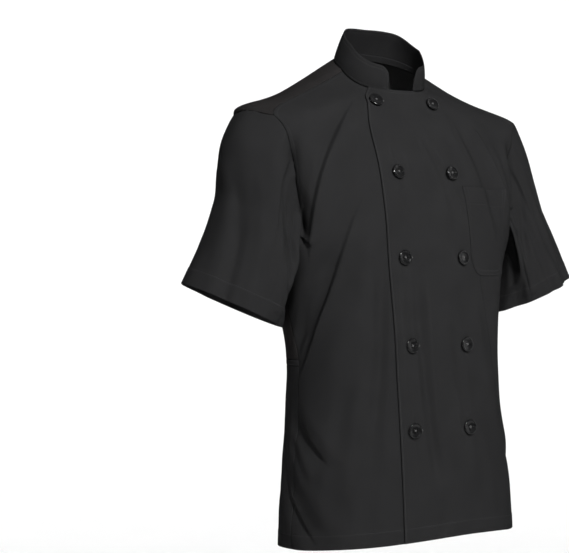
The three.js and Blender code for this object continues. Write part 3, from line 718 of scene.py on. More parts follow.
def wall_faces(rows, columns, closed):
    """Faces of both sides and the rims of a wall, with the inner points after the outer ones."""
    number = np.arange(rows * columns).reshape(rows, columns)
    if closed:
        number = np.concatenate([number, number[:, :1]], 1)
    a, b = number[:-1, :-1], number[:-1, 1:]
    c, d = number[1:, 1:], number[1:, :-1]
    inner = rows * columns
    low, high = number[0], number[-1]
    parts = [
        np.stack([a, b, c, d], -1).reshape(-1, 4),
        np.stack([a, d, c, b], -1).reshape(-1, 4) + inner,
        np.stack([low[:-1] + inner, low[1:] + inner, low[1:], low[:-1]], -1),
        np.stack([high[:-1], high[1:], high[1:] + inner, high[:-1] + inner], -1),
    ]
    if not closed:
        left, right = number[:, 0], number[:, -1]
        parts.append(np.stack([left[:-1] + inner, left[:-1], left[1:], left[1:] + inner], -1))
        parts.append(np.stack([right[:-1], right[:-1] + inner, right[1:] + inner, right[1:]], -1))
    return np.concatenate(parts).tolist()


def shell(name, points, thick, closed=False, side_stitch=None, hem_stitch=None):
    """A closed thin wall from a grid of outer points, with cloth coordinates in metres."""
    rows, columns = points.shape[:2]
    thick = np.broadcast_to(thick, (rows, columns))[..., None]
    inner = points - grid_normals(points, closed) * thick
    vertices = np.concatenate([points.reshape(-1, 3), inner.reshape(-1, 3)])
    across = lengths(points, 1)
    middle = across[:, columns // 2][:, None]
    uv = np.stack([across - middle, lengths(points, 0)], -1).reshape(-1, 2) * MM
    far = np.full((rows, columns), STITCH_FAR)
    attributes = {
        "side_stitch": np.tile((far if side_stitch is None else side_stitch).ravel(), 2),
        "hem_stitch": np.tile((far if hem_stitch is None else hem_stitch).ravel(), 2),
        "inside": np.repeat([0.0, 1.0], rows * columns),
    }
    return make_mesh(name, vertices, wall_faces(rows, columns, closed), np.tile(uv, (2, 1)), attributes)


# Materials

class Nodes:
    """A new material's node tree, with short helpers."""

    def __init__(self, name):
        self.material = bpy.data.materials.new(name)
        self.material.use_nodes = True
        self.tree = self.material.node_tree
        self.tree.nodes.clear()

    def add(self, kind, **values):
        node = self.tree.nodes.new(kind)
        for key, value in values.items():
            setattr(node, key, value)
        return node

    def put(self, value, socket):
        if isinstance(value, bpy.types.NodeSocket):
            self.tree.links.new(value, socket)
        else:
            socket.default_value = value

    def math(self, operation, a, b=0.0, clamp=False):
        node = self.add("ShaderNodeMath", operation=operation, use_clamp=clamp)
        self.put(a, node.inputs[0])
        self.put(b, node.inputs[1])
        return node.outputs[0]

    def wave(self, operation, value, length):
        return self.math(operation, self.math("MULTIPLY", value, 2 * math.pi / length))

    def noise(self, vector, scale, detail):
        node = self.add("ShaderNodeTexNoise")
        self.put(vector, node.inputs["Vector"])
        node.inputs["Scale"].default_value = scale
        node.inputs["Detail"].default_value = detail
        node.inputs["Roughness"].default_value = 0.55
        return node.outputs["Fac"]

    def attribute(self, name):
        return self.add("ShaderNodeAttribute", attribute_name=name).outputs["Fac"]

    def place(self):
        return self.add("ShaderNodeTexCoord").outputs["Object"]

    def ramp(self, value, low, high, start, end):
        node = self.add("ShaderNodeMapRange")
        self.put(value, node.inputs["Value"])
        for key, number in (("From Min", low), ("From Max", high), ("To Min", start), ("To Max", end)):
            node.inputs[key].default_value = number
        return node.outputs["Result"]

    def colour(self, share, first, second):
        """A mix of two colours, each a socket or three numbers."""
        node = self.add("ShaderNodeMix", data_type="RGBA")
        self.put(share, node.inputs[0])
        for value, socket in ((first, node.inputs[6]), (second, node.inputs[7])):
            self.put(value if isinstance(value, bpy.types.NodeSocket) else (*value, 1), socket)
        return node.outputs[2]

    def bump(self, height, distance, strength, normal=None):
        node = self.add("ShaderNodeBump")
        node.inputs["Strength"].default_value = strength
        node.inputs["Distance"].default_value = distance
        self.put(height, node.inputs["Height"])
        if normal is not None:
            self.put(normal, node.inputs["Normal"])
        return node.outputs["Normal"]

    def finish(self, values):
        """Adds the shader with its named inputs, and gives the material back."""
        shader = self.add("ShaderNodeBsdfPrincipled")
        for name, value in values.items():
            self.put(value, shader.inputs[name])
        out = self.add("ShaderNodeOutputMaterial")
        self.put(shader.outputs[0], out.inputs["Surface"])
        return self.material


def stitches(nodes, x, y):
    """Thread and dimple masks of the topstitching, from the two stitch distances in millimetres."""
    threads, dimples = [], []
    for name, run in (("side_stitch", y), ("hem_stitch", x)):
        off = nodes.math("ABSOLUTE", nodes.attribute(name))
        line = nodes.ramp(off, 0.28, 0.5, 1.0, 0.0)
        phase = nodes.math("FRACT", nodes.math("MULTIPLY", run, 1 / STITCH_LENGTH))
        from_middle = nodes.math("ABSOLUTE", nodes.math("SUBTRACT", phase, 0.5))
        dash = nodes.ramp(from_middle, 0.34, 0.42, 1.0, 0.0)
        threads.append(nodes.math("MULTIPLY", line, dash))
        dimples.append(nodes.ramp(off, 0.3, 1.6, 1.0, 0.0))
    return nodes.math("MAXIMUM", *threads), nodes.math("MAXIMUM", *dimples)


def twill_weave(nodes, x, y):
    """Height of the diagonal ribs of a fine twill, and a shade taken from that height: painted shade in
    the grooves and painted light on the rib tops.
    """
    rib = nodes.wave("SINE", nodes.math("ADD", x, nodes.math("MULTIPLY", y, 0.62)), TWILL_RIB)
    yarn = nodes.wave("SINE", nodes.math("SUBTRACT", y, nodes.math("MULTIPLY", x, 0.3)), TWILL_YARN)
    height = nodes.math("ADD", rib, nodes.math("MULTIPLY", yarn, 0.35))
    return height, nodes.ramp(height, -1.3, 1.3, 0.15, 0.85)


def net_weave(nodes, x, y):
    """Height of upright ribs that zigzag a little, with small holes between them, and a shade taken
    from that height: painted shade between the ribs, darkest in the holes, and painted light on the rib
    tops.
    """
    swing = nodes.math("MULTIPLY", nodes.wave("SINE", y, NET_SWING), NET_BEND)
    rib = nodes.wave("COSINE", nodes.math("ADD", x, swing), NET_RIB)
    bars = nodes.wave("COSINE", y, NET_BAR)
    gap = nodes.ramp(rib, -1.0, -0.1, 1.0, 0.0)
    hole = nodes.math("MULTIPLY", gap, nodes.ramp(bars, -1.0, 0.3, 1.0, 0.0))
    height = nodes.math("SUBTRACT", nodes.math("MULTIPLY", rib, 0.8), nodes.math("MULTIPLY", hole, 2.2))
    return height, nodes.ramp(height, -2.0, 0.8, 0.0, 1.0)


def cloth_material(name, weave, dark, light, roughness, inner=None):
    """A woven or netted cloth with topstitching. weave gives the height of its texture and a shade
    taken from that height, which goes into the colour as painted shade and painted light.
    """
    nodes = Nodes(name)
    uv = nodes.add("ShaderNodeUVMap", uv_map="cloth").outputs["UV"]
    split = nodes.add("ShaderNodeSeparateXYZ")
    nodes.put(uv, split.inputs[0])
    x, y = split.outputs["X"], split.outputs["Y"]
    thread, dimple = stitches(nodes, x, y)
    height, shade = weave(nodes, x, y)
    cloudy = nodes.ramp(nodes.noise(uv, 22, 4), 0.3, 0.7, 0.0, 1.0)
    fuzz = nodes.math("SUBTRACT", nodes.noise(uv, 900, 2), 0.5)
    # The cloth's tone: random clouds and fuzz, plus the weave's painted shade from its height.
    tone = nodes.math("ADD", nodes.math("MULTIPLY", cloudy, 0.2), nodes.math("MULTIPLY", shade, 0.8))
    tone = nodes.math("ADD", tone, nodes.math("MULTIPLY", fuzz, 0.35), clamp=True)
    # Stitch threads get a lighter colour: painted sheen of the thread.
    sewn = nodes.colour(thread, (0, 0, 0), tuple(THREAD_PAINTED_SHEEN * c for c in light))
    base = nodes.colour(thread, nodes.colour(tone, dark, light), sewn)
    # The net's inner side gets a lighter colour: painted light for the light that comes through the
    # thin net.
    if inner:
        base = nodes.colour(nodes.attribute("inside"), base, inner)
    fine = nodes.bump(height, 0.12 * MM, 0.5)
    pucker = nodes.math("MULTIPLY", dimple, nodes.ramp(nodes.noise(uv, 260, 2), 0.3, 0.7, 0.6, 1.2))
    sunk = nodes.bump(nodes.math("MULTIPLY", pucker, -1.0), 0.35 * MM, 0.8, fine)
    return nodes.finish({
        "Base Color": base,
        "Roughness": nodes.ramp(nodes.noise(uv, 60, 3), 0.25, 0.75, roughness - 0.06, roughness + 0.08),
        "Specular IOR Level": 0.0,
        "Sheen Weight": CLOTH_SHEEN,
        "Sheen Roughness": 0.45,
        "Normal": nodes.bump(thread, 0.3 * MM, 0.8, sunk),
    })


def button_material():
    nodes = Nodes("button_gloss")
    place = nodes.place()
    return nodes.finish({
        "Base Color": nodes.colour(nodes.noise(place, 900, 3), BUTTON_DARK, BUTTON_LIGHT),
        "Roughness": nodes.ramp(nodes.noise(place, 400, 3), 0.3, 0.7, *BUTTON_ROUGHNESS),
        "Specular IOR Level": BUTTON_SHINE,
        "Normal": nodes.bump(nodes.noise(place, 700, 2), 0.04 * MM, 0.5),
    })


def plain_material(name, scale, dark, light, roughness, sheen=0.0):
    """A greyish surface between two shades, without relief."""
    nodes = Nodes(name)
    return nodes.finish({
        "Base Color": nodes.colour(nodes.noise(nodes.place(), scale, 2), (dark,) * 3, (light,) * 3),
        "Roughness": roughness,
        "Sheen Weight": sheen,
    })


TWILL = cloth_material("twill", twill_weave, **TWILL_LOOK)
NET = cloth_material("net", net_weave, **NET_LOOK)
GLOSS = button_material()
THREAD = plain_material("sewing_thread", 3000, 0.004, 0.014, 0.6, 0.02)
PAPER = plain_material("studio_paper", 3, 0.9, 0.93, 0.9)


def dress(obj, material, node=None):
    """Gives a piece its material and slot, and the node it stands for."""
    obj.data.materials.append(material)
    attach(obj, "root")
    if node:
        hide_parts(node)
    return obj


# Fronts

def front_panel(name, surface, side):
    t, v = front_places(side)
    points = surface(t, v)
    normals = grid_normals(points)
    away = edge_distances(points)
    lap, seam = ("first", "last") if side > 0 else ("last", "first")
    at_front = 1 - smooth(COLLAR_LEFT_END, LIP_END, np.abs(t))
    lip = band(away["high"], LIP_WIDE, LIP_HIGH, LIP_SOFT) * at_front
    lift = band(away["low"], *HEM_BAND) + band(away[lap], *FACING_BAND) + lip
    points = points + normals * lift[..., None]
    points = roll_edges(points, normals, away, (seam, "high"), SEAM_ROLL)
    points = roll_edges(points, normals, away, ("low", lap), EDGE_ROLL)
    thick = SHELL + band(away["low"], HEM_BAND[0], HEM_EXTRA)
    at_arm = np.where(v[:, :1] > SIDE_TOP, away[seam] - ARM_STITCH, STITCH_FAR)
    side_line = nearest(away[lap] - LAP_STITCH, at_arm)
    hem_line = nearest(away["low"] - HEM_STITCH, away["high"] - NECK_STITCH)
    obj = shell(f"{name}_cloth", points, thick, side_stitch=side_line, hem_stitch=hem_line)
    return dress(obj, TWILL, name), points


front_right, right_points = front_panel("front_right", under, -1)
front_left, left_points = front_panel("front_left", over, 1)


# Back

ALL_EDGES = ("first", "last", "low", "high")


def back_panel(name, rows, material, sinks, lift=0.0, stitch=None, hem=False):
    t, v = back_places(rows)
    points = under(t, v)
    normals = grid_normals(points)
    away = edge_distances(points)
    points = points + normals * lift
    thick = SHELL
    hem_line = None
    if stitch:
        hem_line = nearest(away["low"] - stitch, away["high"] - stitch)
    if hem:
        points = points + normals * band(away["low"], *HEM_BAND)[..., None]
        thick = SHELL + band(away["low"], HEM_BAND[0], HEM_EXTRA)
        hem_line = away["low"] - HEM_STITCH
    points = roll_edges(points, normals, away, sinks, SEAM_ROLL)
    obj = shell(f"{name}_cloth", points, thick, hem_stitch=hem_line)
    return dress(obj, material, name), points


def upper_rows():
    low, arm, shoulder = BACK_ROWS
    return np.concatenate([
        side_rows(mix(BAND_HIGH, SIDE_TOP, ends_dense(low, end=False))),
        arm_rows(arm_back, arm, BACK_ARM_TOP), shoulder_rows(shoulder, BACK_ARM_TOP),
    ])


band_rows = side_rows(mix(BAND_LOW, BAND_HIGH, np.array([0, 0.06, 0.2, 0.5, 0.8, 0.94, 1])))
lower_rows = side_rows(ends_dense(LOWER_ROWS) * BAND_LOW)
back_upper, upper_points = back_panel("back_upper", upper_rows(), NET, ALL_EDGES)
waist_band, band_points = back_panel(
    "waist_band", band_rows, TWILL, ALL_EDGES, lift=0.5, stitch=BAND_STITCH,
)
back_lower, lower_points = back_panel(
    "back_lower", lower_rows, TWILL, ("first", "last", "high"), hem=True,
)


# Seam allowances: narrow strips behind the seams

def strip(name, t, v, closed=False):
    """A strip along a seam of the body, just inside the shells on both sides of it."""
    path, normals = under(t, v), normal_of(under, t, v)
    if closed:
        along = np.roll(path, -1, 0) - np.roll(path, 1, 0)
    else:
        along = np.gradient(path, axis=0)
    aside = unit(np.cross(normals, along))
    share = np.linspace(-1, 1, STRIP_ROWS)[:, None, None] * STRIP_HALF
    points = path[None] + aside[None] * share - normals[None] * (SHELL + STRIP_IN)
    if np.cross(points[0, 1] - points[0, 0], points[1, 0] - points[0, 0]) @ normals[0] < 0:
        points = points[:, ::-1]
    return dress(shell(name, points, STRIP_WALL, closed), TWILL)


def side_strip(name, side):
    v = np.linspace(0.004, SIDE_TOP - 0.004, 120)
    return strip(f"side_seam_{name}", np.full_like(v, SIDE_SEAM * side), v)


def shoulder_strip(name, side):
    share = np.linspace(0.02, 0.97, 50)
    t = side * mix(SHOULDER_SEAM_OUT, SHOULDER_SEAM_IN, share)
    return strip(f"shoulder_seam_{name}", t, mix(SHOULDER_POINT, 1, share))


def arm_loop(side, stations):
    tf, vf = arm_front(np.linspace(0, 1, stations // 2 + 1)[1:])
    tb, vb = arm_back(np.linspace(1, 0, stations - stations // 2 + 1)[1:])
    return side * np.concatenate([tf, tb]), np.concatenate([vf, vb])


def arm_strip(name, side):
    return strip(f"armhole_seam_{name}", *arm_loop(side, STRIP_STATIONS), closed=True)


def band_strip():
    turns = np.linspace(*BACKING_TURNS, STRIP_STATIONS)
    heights = np.linspace(BAND_LOW - BACKING_EDGE, BAND_HIGH + BACKING_EDGE, STRIP_ROWS)
    t, v = np.meshgrid(turns, heights)
    points = under(t, v) - normal_of(under, t, v) * (SHELL + STRIP_IN)
    return dress(shell("waist_band_backing", points, STRIP_WALL), TWILL)


SIDES = (("right", -1), ("left", 1))
side_strips = {side: side_strip(name, side) for name, side in SIDES}
shoulder_strips = {side: shoulder_strip(name, side) for name, side in SIDES}
arm_strips = {side: arm_strip(name, side) for name, side in SIDES}
band_backing = band_strip()


# Sleeves

def sleeve_lines(sleeve):
    """For each station round a sleeve: start, hem point, body normal, angle and depth of the hollow."""
    side = sleeve["side"]
    t, v = arm_loop(side, SLEEVE_STATIONS)
    edge = under(t, v)
    plain = body_form(t, v)
    normal = normal_of(under, t, v)
    along = unit(np.roll(edge, -1, 0) - np.roll(edge, 1, 0))
    into = unit(np.cross(along, normal))
    middle = np.array([side * ARM_X, ARM_Y, ARM_Z])
    into *= np.where(((middle - edge) * into).sum(-1, keepdims=True) < 0, -1, 1)
    angle = np.arctan2(-(plain[:, 1] - ARM_Y) / ARM_WIDE, (plain[:, 2] - ARM_Z) / ARM_TALL)
    reach = SLEEVE_ACROSS * np.cos(angle)
    hem = np.stack([
        side * (sleeve["hem_x"] + reach * math.cos(SLEEVE_TILT)),
        SLEEVE_HEM_Y - SLEEVE_DEEP * np.sin(angle),
        sleeve["hem_z"] + reach * math.sin(SLEEVE_TILT) - sleeve["pitch"] * SLEEVE_DEEP * np.sin(angle),
    ], -1)
    way = hem - edge
    way = unit(way - along * (way * along).sum(-1, keepdims=True))
    bend = np.maximum(0, -(way * normal).sum(-1, keepdims=True))
    back = np.maximum(0, -(way * into).sum(-1, keepdims=True))
    start = edge + into * (SEAM_GAP + SHELL * bend)
    start = start + normal * (2 * SEAM_GAP * smooth(0, 0.6, back) + SLEEVE_LIFT * bend)
    return start, hem, normal, angle, arm_hollow(t, v)


def sleeve_moves(angle, w, fine):
    """Folds, waves and the ease of the sleeve's cap, along the way out from its axis."""
    turned = np.degrees(angle)
    move = np.zeros((len(w), len(angle)))
    for q, w0, w1, drift, wide, deep in (*SLEEVE_LARGE, *fine):
        off = np.abs(wrap(turned - q - drift * w)) * SLEEVE_MM_PER_DEGREE / wide
        length = smooth(w0, w0 + 0.3, w) * (1 - smooth(w1 - 0.05, w1, w))
        move += deep * length * trough(off)
    cap = np.exp(-w * 22) * np.maximum(0, np.cos(angle / 2.4))
    ease = SLEEVE_EASE * np.sin(31 * angle + 3 * np.sin(5 * angle)) * cap
    return move + ease + waves(SLEEVE_RIPPLES, angle, w)


def sleeve_grid(sleeve, rows):
    """Outer points of a sleeve, a row for each share of the way from armhole to hem."""
    side, hem_x = sleeve["side"], sleeve["hem_x"]
    start, hem, normal, angle, hollow = sleeve_lines(sleeve)
    w = rows[:, None]
    points = mix(start[None], hem[None], w[..., None])
    regained = hollow * (1 - w) * (1 - np.exp(-w / HOLLOW_END))
    points = points - normal[None] * regained[..., None]
    outer = np.maximum(0, np.cos(angle / 2)) ** 3
    low = np.maximum(0, -np.cos(angle)) ** 2
    bell = SLEEVE_BELL * low * 4 * w * (1 - w)
    toward = np.maximum(0, np.cos((angle - FILL_ANGLE) / 2)) ** 4
    fill = sleeve["fill"] * toward * np.sin(np.pi * w**1.4)
    points[..., 0] += side * (drape_out(w) * sleeve["drape"] * outer + bell - 0.5 * fill)
    points[..., 1] -= fill
    axis_top = np.array([side * AXIS_X, ARM_Y, ARM_Z])
    axis_end = np.array([side * hem_x, SLEEVE_HEM_Y, sleeve["hem_z"]])
    away = unit(points - mix(axis_top, axis_end, w)[:, None])
    return points + away * sleeve_moves(angle, w, SLEEVE_FINE[sleeve["name"]])[..., None], angle


def sleeve_shell(sleeve):
    points, _ = sleeve_grid(sleeve, ends_dense(SLEEVE_ROWS))
    points = points[::-1] if sleeve["side"] > 0 else points[::-1, ::-1]
    normals = grid_normals(points, True)
    up = lengths(points, 0)
    away = {"low": up, "high": up[-1:] - up}
    points = points + normals * band(up, *SLEEVE_BAND)[..., None]
    points = roll_edges(points, normals, away, ("high",), ARM_ROLL)
    points = roll_edges(points, normals, away, ("low",), EDGE_ROLL)
    thick = SHELL + band(up, SLEEVE_BAND[0], HEM_EXTRA)
    obj = shell(sleeve["name"] + "_cloth", points, thick, closed=True, hem_stitch=up - SLEEVE_STITCH)
    return dress(obj, TWILL, sleeve["name"]), points


sleeve_right, sleeve_right_points = sleeve_shell(SLEEVES[0])
sleeve_left, sleeve_left_points = sleeve_shell(SLEEVES[1])


# Collar

def neck_edge(turns, step=0.0):
    """The neck edge of the fronts and the back, from the lap's upper layer round to the lower one."""
    left = (turns < 180)[:, None]
    return np.where(left, over(turns + step, 1.0), under(turns + step, 1.0))


def collar_grid(turns, shares):
    left = (turns < 180)[:, None]
    edge = neck_edge(turns)
    normal = np.where(left, normal_of(over, turns, 1.0), normal_of(under, turns, 1.0))
    into = unit(np.cross(unit(neck_edge(turns, 1.0) - neck_edge(turns, -1.0)), normal))
    into *= np.where((into[:, 2:] < -0.001) | ((into * edge).sum(-1, keepdims=True) > 0), -1, 1)
    base = edge + into * SEAM_GAP
    angle = np.arctan2(base[:, 0] / NECK_WIDE, -(base[:, 1] - NECK_Y) / NECK_DEEP)
    top = np.stack([
        COLLAR_WIDE * np.sin(angle), COLLAR_Y - COLLAR_DEEP * np.cos(angle),
        base[:, 2] + collar_rise(np.abs(np.degrees(angle))),
    ], -1)
    from_end = np.minimum(turns - COLLAR_LEFT_END, 360 - COLLAR_RIGHT_END - turns)
    left_over = np.clip(1 - from_end / COLLAR_ROUND, 0, 1)
    full = mix(COLLAR_END_HIGH, 1, (1 - left_over**2.6) ** (1 / 2.2))
    share = shares[:, None] * full[None]
    points = mix(base[None], top[None], share[..., None])
    bulge = COLLAR_BULGE * 4 * share * (1 - share) + waves(COLLAR_RIPPLES, angle, 0) * share
    out = np.stack([np.sin(angle), -np.cos(angle), np.zeros_like(angle)], -1)
    return points + out[None] * bulge[..., None]


def make_collar():
    u = ends_dense(COLLAR_COLUMNS)
    u = u - COLLAR_CROWDING * np.sin(2 * np.pi * u)
    turns = mix(COLLAR_LEFT_END, 360 - COLLAR_RIGHT_END, u)
    points = collar_grid(turns, ends_dense(COLLAR_ROWS))
    normals = grid_normals(points)
    away = edge_distances(points)
    points = roll_edges(points, normals, away, ("first", "last", "high"), COLLAR_ROLL)
    points = roll_edges(points, normals, away, ("low",), COLLAR_BASE_ROLL)
    rim = np.minimum.reduce([away["first"], away["last"], away["high"]])
    thick = COLLAR_SHELL - COLLAR_THINNING * np.clip(1 - rim / COLLAR_ROLL[0], 0, 1)
    side_line = nearest(away["first"] - COLLAR_STITCH, away["last"] - COLLAR_STITCH)
    hem_line = nearest(away["high"] - COLLAR_STITCH, away["low"] - COLLAR_BASE_STITCH)
    obj = shell("collar_cloth", points, thick, side_stitch=side_line, hem_stitch=hem_line)
    return dress(obj, TWILL, "collar"), points


def neck_tape():
    """The tape that covers the neck seam inside the collar."""
    turns = np.linspace(COLLAR_LEFT_END + 3, 360 - COLLAR_RIGHT_END - 3, STRIP_STATIONS)
    points = collar_grid(turns, np.linspace(-0.1, 0.14, STRIP_ROWS))
    points = points - grid_normals(points) * (COLLAR_SHELL + STRIP_IN)
    return dress(shell("neck_tape", points, STRIP_WALL), TWILL)


collar, collar_points = make_collar()
tape = neck_tape()


# Pockets

def pocket_shell(name, points, normals, away, lift, side_line, hem_line):
    rim = np.minimum.reduce(list(away.values()))
    points = points + normals * lift[..., None]
    points = roll_edges(points, normals, {"rim": rim}, ("rim",), POCKET_ROLL)
    obj = shell(f"{name}_cloth", points, SHELL, side_stitch=side_line, hem_stitch=hem_line)
    return dress(obj, TWILL, name), points


def make_chest_pocket():
    u = ends_dense(CHEST_COLUMNS)[None]
    w = ends_dense(CHEST_ROWS)[:, None]
    lift = CHEST_CORNER * np.abs(2 * u - 1) ** 5
    low, high = CHEST_HEIGHTS
    t = mix(*CHEST_TURNS, u) + 0 * w
    v = mix(mix(low, high, lift), high, w)
    points = over(t, v)
    away = edge_distances(points)
    sewn = np.minimum.reduce([away["first"], away["last"], away["low"]])
    puff = CHEST_PUFF * smooth(3, 24, sewn)
    sag = CHEST_SAG * np.exp(-away["high"] / 12) * np.sin(np.pi * u)
    height = POCKET_STAND + puff + sag + band(away["high"], *POCKET_BAND)
    side_line = nearest(*(away[edge] - d for d in POCKET_STITCHES for edge in ("first", "last")))
    hem_line = nearest(*(away["low"] - d for d in POCKET_STITCHES), away["high"] - POCKET_HEM_STITCH)
    return pocket_shell("chest_pocket", points, grid_normals(points), away, height, side_line, hem_line)


def make_pen_pocket():
    rows = mix(*PEN_ALONG, ends_dense(PEN_ROWS))
    order = np.argsort(rows)
    grid, angle = sleeve_grid(SLEEVES[1], rows[order])
    grid = grid[np.argsort(order)]
    turned = np.degrees(angle)
    wanted = mix(*PEN_ANGLES, ends_dense(PEN_COLUMNS))
    by_turn = np.argsort(turned)
    points = np.stack([
        np.stack([np.interp(wanted, turned[by_turn], line[by_turn, k]) for k in range(3)], -1)
        for line in grid
    ])
    normals = grid_normals(points)
    if normals[..., 0].mean() < 0:
        normals = -normals
    away = edge_distances(points)
    rim = np.minimum.reduce(list(away.values()))
    height = POCKET_STAND + PEN_PUFF * smooth(2, 14, rim) + band(away["high"], *PEN_BAND)
    middle = (away["first"] - away["last"]) / 2
    edge = POCKET_STITCHES[0]
    side_line = nearest(away["first"] - edge, away["last"] - edge, middle)
    hem_line = nearest(away["low"] - edge, away["high"] - PEN_HEM_STITCH)
    return pocket_shell("sleeve_pocket", points, normals, away, height, side_line, hem_line)


chest_pocket, chest_points = make_chest_pocket()
sleeve_pocket, pen_points = make_pen_pocket()


# Buttons

def lathe_mesh(name, profile, segments):
    """A turned body from (radius, height) places, both in millimetres."""
    vertices, faces, rings_made = [], [], []
    for r, h in profile:
        if r == 0:
            rings_made.append([len(vertices)])
            vertices.append((0, 0, h))
            continue
        rings_made.append(list(range(len(vertices), len(vertices) + segments)))
        for j in range(segments):
            angle = 2 * math.pi * j / segments
            vertices.append((r * math.cos(angle), r * math.sin(angle), h))
    for one, two in zip(rings_made, rings_made[1:]):
        for j in range(segments):
            k = (j + 1) % segments
            if len(one) == 1:
                faces.append((one[0], two[k], two[j]))
            elif len(two) == 1:
                faces.append((one[j], one[k], two[0]))
            else:
                faces.append((one[j], one[k], two[k], two[j]))
    return make_mesh(name, vertices, faces)


def apply_modifiers(obj):
    graph = bpy.context.evaluated_depsgraph_get()
    mesh = bpy.data.meshes.new_from_object(obj.evaluated_get(graph))
    obj.modifiers.clear()
    obj.data = mesh


def hole_cutter(i):
    angle = math.pi / 4 + i * 2 * math.pi / HOLES
    low, high = HOLE_HEIGHTS
    profile = ((0.0, low), (HOLE_RADIUS, low), (HOLE_RADIUS, high), (0.0, high))
    cutter = lathe_mesh("hole_cutter", profile, 16)
    cutter.location = (HOLE_OFFSET * math.cos(angle) * MM, HOLE_OFFSET * math.sin(angle) * MM, 0)
    return cutter


def button_mesh():
    blank = lathe_mesh("button_blank", BUTTON_PROFILE, BUTTON_SEGMENTS)
    cutters = [hole_cutter(i) for i in range(HOLES)]
    bpy.context.view_layer.update()
    for cutter in cutters:
        cut = blank.modifiers.new("hole", "BOOLEAN")
        cut.operation = "DIFFERENCE"
        cut.object = cutter
        cut.solver = "EXACT"
    apply_modifiers(blank)
    mesh = blank.data
    for obj in [blank, *cutters]:
        bpy.data.objects.remove(obj)
    mesh.polygons.foreach_set("use_smooth", np.ones(len(mesh.polygons), bool))
    mesh.set_sharp_from_angle(angle=math.radians(50))
    mesh.name = "button"
    return mesh


def tube(points, radius, sides=8):
    """Vertices and faces of a closed tube along points, millimetres."""
    way = unit(np.gradient(points, axis=0))
    guide = np.where(np.abs(way[:, 2:]) > 0.9, [[1.0, 0, 0]], [[0, 0, 1.0]])
    one = unit(np.cross(way, guide))
    two = np.cross(way, one)
    turn = np.linspace(0, 2 * np.pi, sides, endpoint=False)
    circle = one[:, None] * np.cos(turn)[None, :, None] + two[:, None] * np.sin(turn)[None, :, None]
    vertices = (points[:, None] + radius * circle).reshape(-1, 3).tolist()
    faces = []
    for i in range(len(points) - 1):
        for j in range(sides):
            k = (j + 1) % sides
            faces.append((i * sides + j, i * sides + k, (i + 1) * sides + k, (i + 1) * sides + j))
    faces.append(tuple(range(sides))[::-1])
    last = (len(points) - 1) * sides
    faces.append(tuple(range(last, last + sides)))
    return vertices, faces


def thread_bar(turned, off):
    """A thread over the button's middle, going down into the holes at both ends."""
    share = np.linspace(-1, 1, 13)
    x, y = HOLE_OFFSET * share, off
    z = THREAD_TOP - THREAD_DROP * np.abs(share) ** 8 + 0.15 * (turned > 1)
    c, s = math.cos(turned), math.sin(turned)
    return tube(np.stack([x * c - y * s, x * s + y * c, z], -1), THREAD_RADIUS)


def shank():
    """The thread that is wrapped round under the button."""
    turns = np.linspace(0, 2 * np.pi * SHANK_TURNS, 120)
    x, y = SHANK_RADIUS * np.cos(turns), SHANK_RADIUS * np.sin(turns)
    z = 0.15 + turns / turns[-1] * 0.95
    return tube(np.stack([x, y, z], -1), SHANK_THICK, 6)


def buttonhole_ring():
    """A worked buttonhole: satin stitches side by side round a slit, as one raised ring."""
    turns = np.linspace(0, 2 * np.pi, 97)
    c, s = np.cos(turns), np.sin(turns)
    x = BUTTONHOLE_HALF * np.sign(c) * np.abs(c) ** 0.35
    y = BUTTONHOLE_WIDE * np.sign(s) * np.abs(s) ** 0.8
    z = 0.35 + 0.12 * np.sin(turns * BUTTONHOLE_STITCHES)
    return tube(np.stack([x, y, z], -1), BUTTONHOLE_THICK)


def joined_mesh(name, parts):
    """One mesh of several parts, to be copied to its places."""
    vertices, faces = [], []
    for some_vertices, some_faces in parts:
        start = len(vertices)
        vertices += some_vertices
        faces += [tuple(start + k for k in face) for face in some_faces]
    obj = make_mesh(name, vertices, faces)
    mesh = obj.data
    bpy.data.objects.remove(obj)
    return mesh


def axes_matrix(x, y, z, at):
    matrix = np.eye(4)
    matrix[:3] = np.stack([x, y, z, at], -1)
    return matrix


def place_matrix(turn, v, lift=0.0, tilt=0.0):
    """Where something sewn on the upper front lies, tilted in its plane."""
    normal = normal_of(over, turn, v)
    around = unit(np.cross([0, 0, 1.0], normal))
    rise = np.cross(normal, around)
    c, s = math.cos(tilt), math.sin(tilt)
    at = (over(turn, v) + normal * lift) * MM
    return axes_matrix(around * c + rise * s, rise * c - around * s, normal, at)


def put(mesh, name, matrix):
    """A copy of a mesh, moved to its place so that the object itself sits at the origin."""
    copy = mesh.copy()
    copy.name = name
    flat = np.empty(len(copy.vertices) * 3)
    copy.vertices.foreach_get("co", flat)
    moved = flat.reshape(-1, 3) @ matrix[:3, :3].T + matrix[:3, 3]
    copy.vertices.foreach_set("co", moved.ravel())
    copy.update()
    obj = bpy.data.objects.new(name, copy)
    bpy.context.scene.collection.objects.link(obj)
    return obj


def thread_mesh():
    turns, offs = (math.pi / 4, 3 * math.pi / 4), (-THREAD_RADIUS, THREAD_RADIUS)
    bars = [thread_bar(turned, off) for turned in turns for off in offs]
    return joined_mesh("button_thread", [*bars, shank()])


def add_buttons():
    caps, threads = button_mesh(), thread_mesh()
    holes = joined_mesh("buttonhole_ring", [buttonhole_ring()])
    for number, (height, right_turn, left_turn) in enumerate(BUTTON_ROWS, 1):
        for label, turn, start in (("right", right_turn, 0), ("left", left_turn, 40)):
            node = f"button_{label}_{number}"
            matrix = place_matrix(turn, height, tilt=math.radians(17 * number + start))
            dress(put(caps, f"{node}_cap", matrix), GLOSS, node)
            dress(put(threads, f"{node}_thread", matrix), THREAD)
            if label == "right":
                slit = place_matrix(turn + BUTTONHOLE_ASIDE, height, BUTTONHOLE_LIFT)
                dress(put(holes, f"buttonhole_{number}", slit), THREAD)


add_buttons()


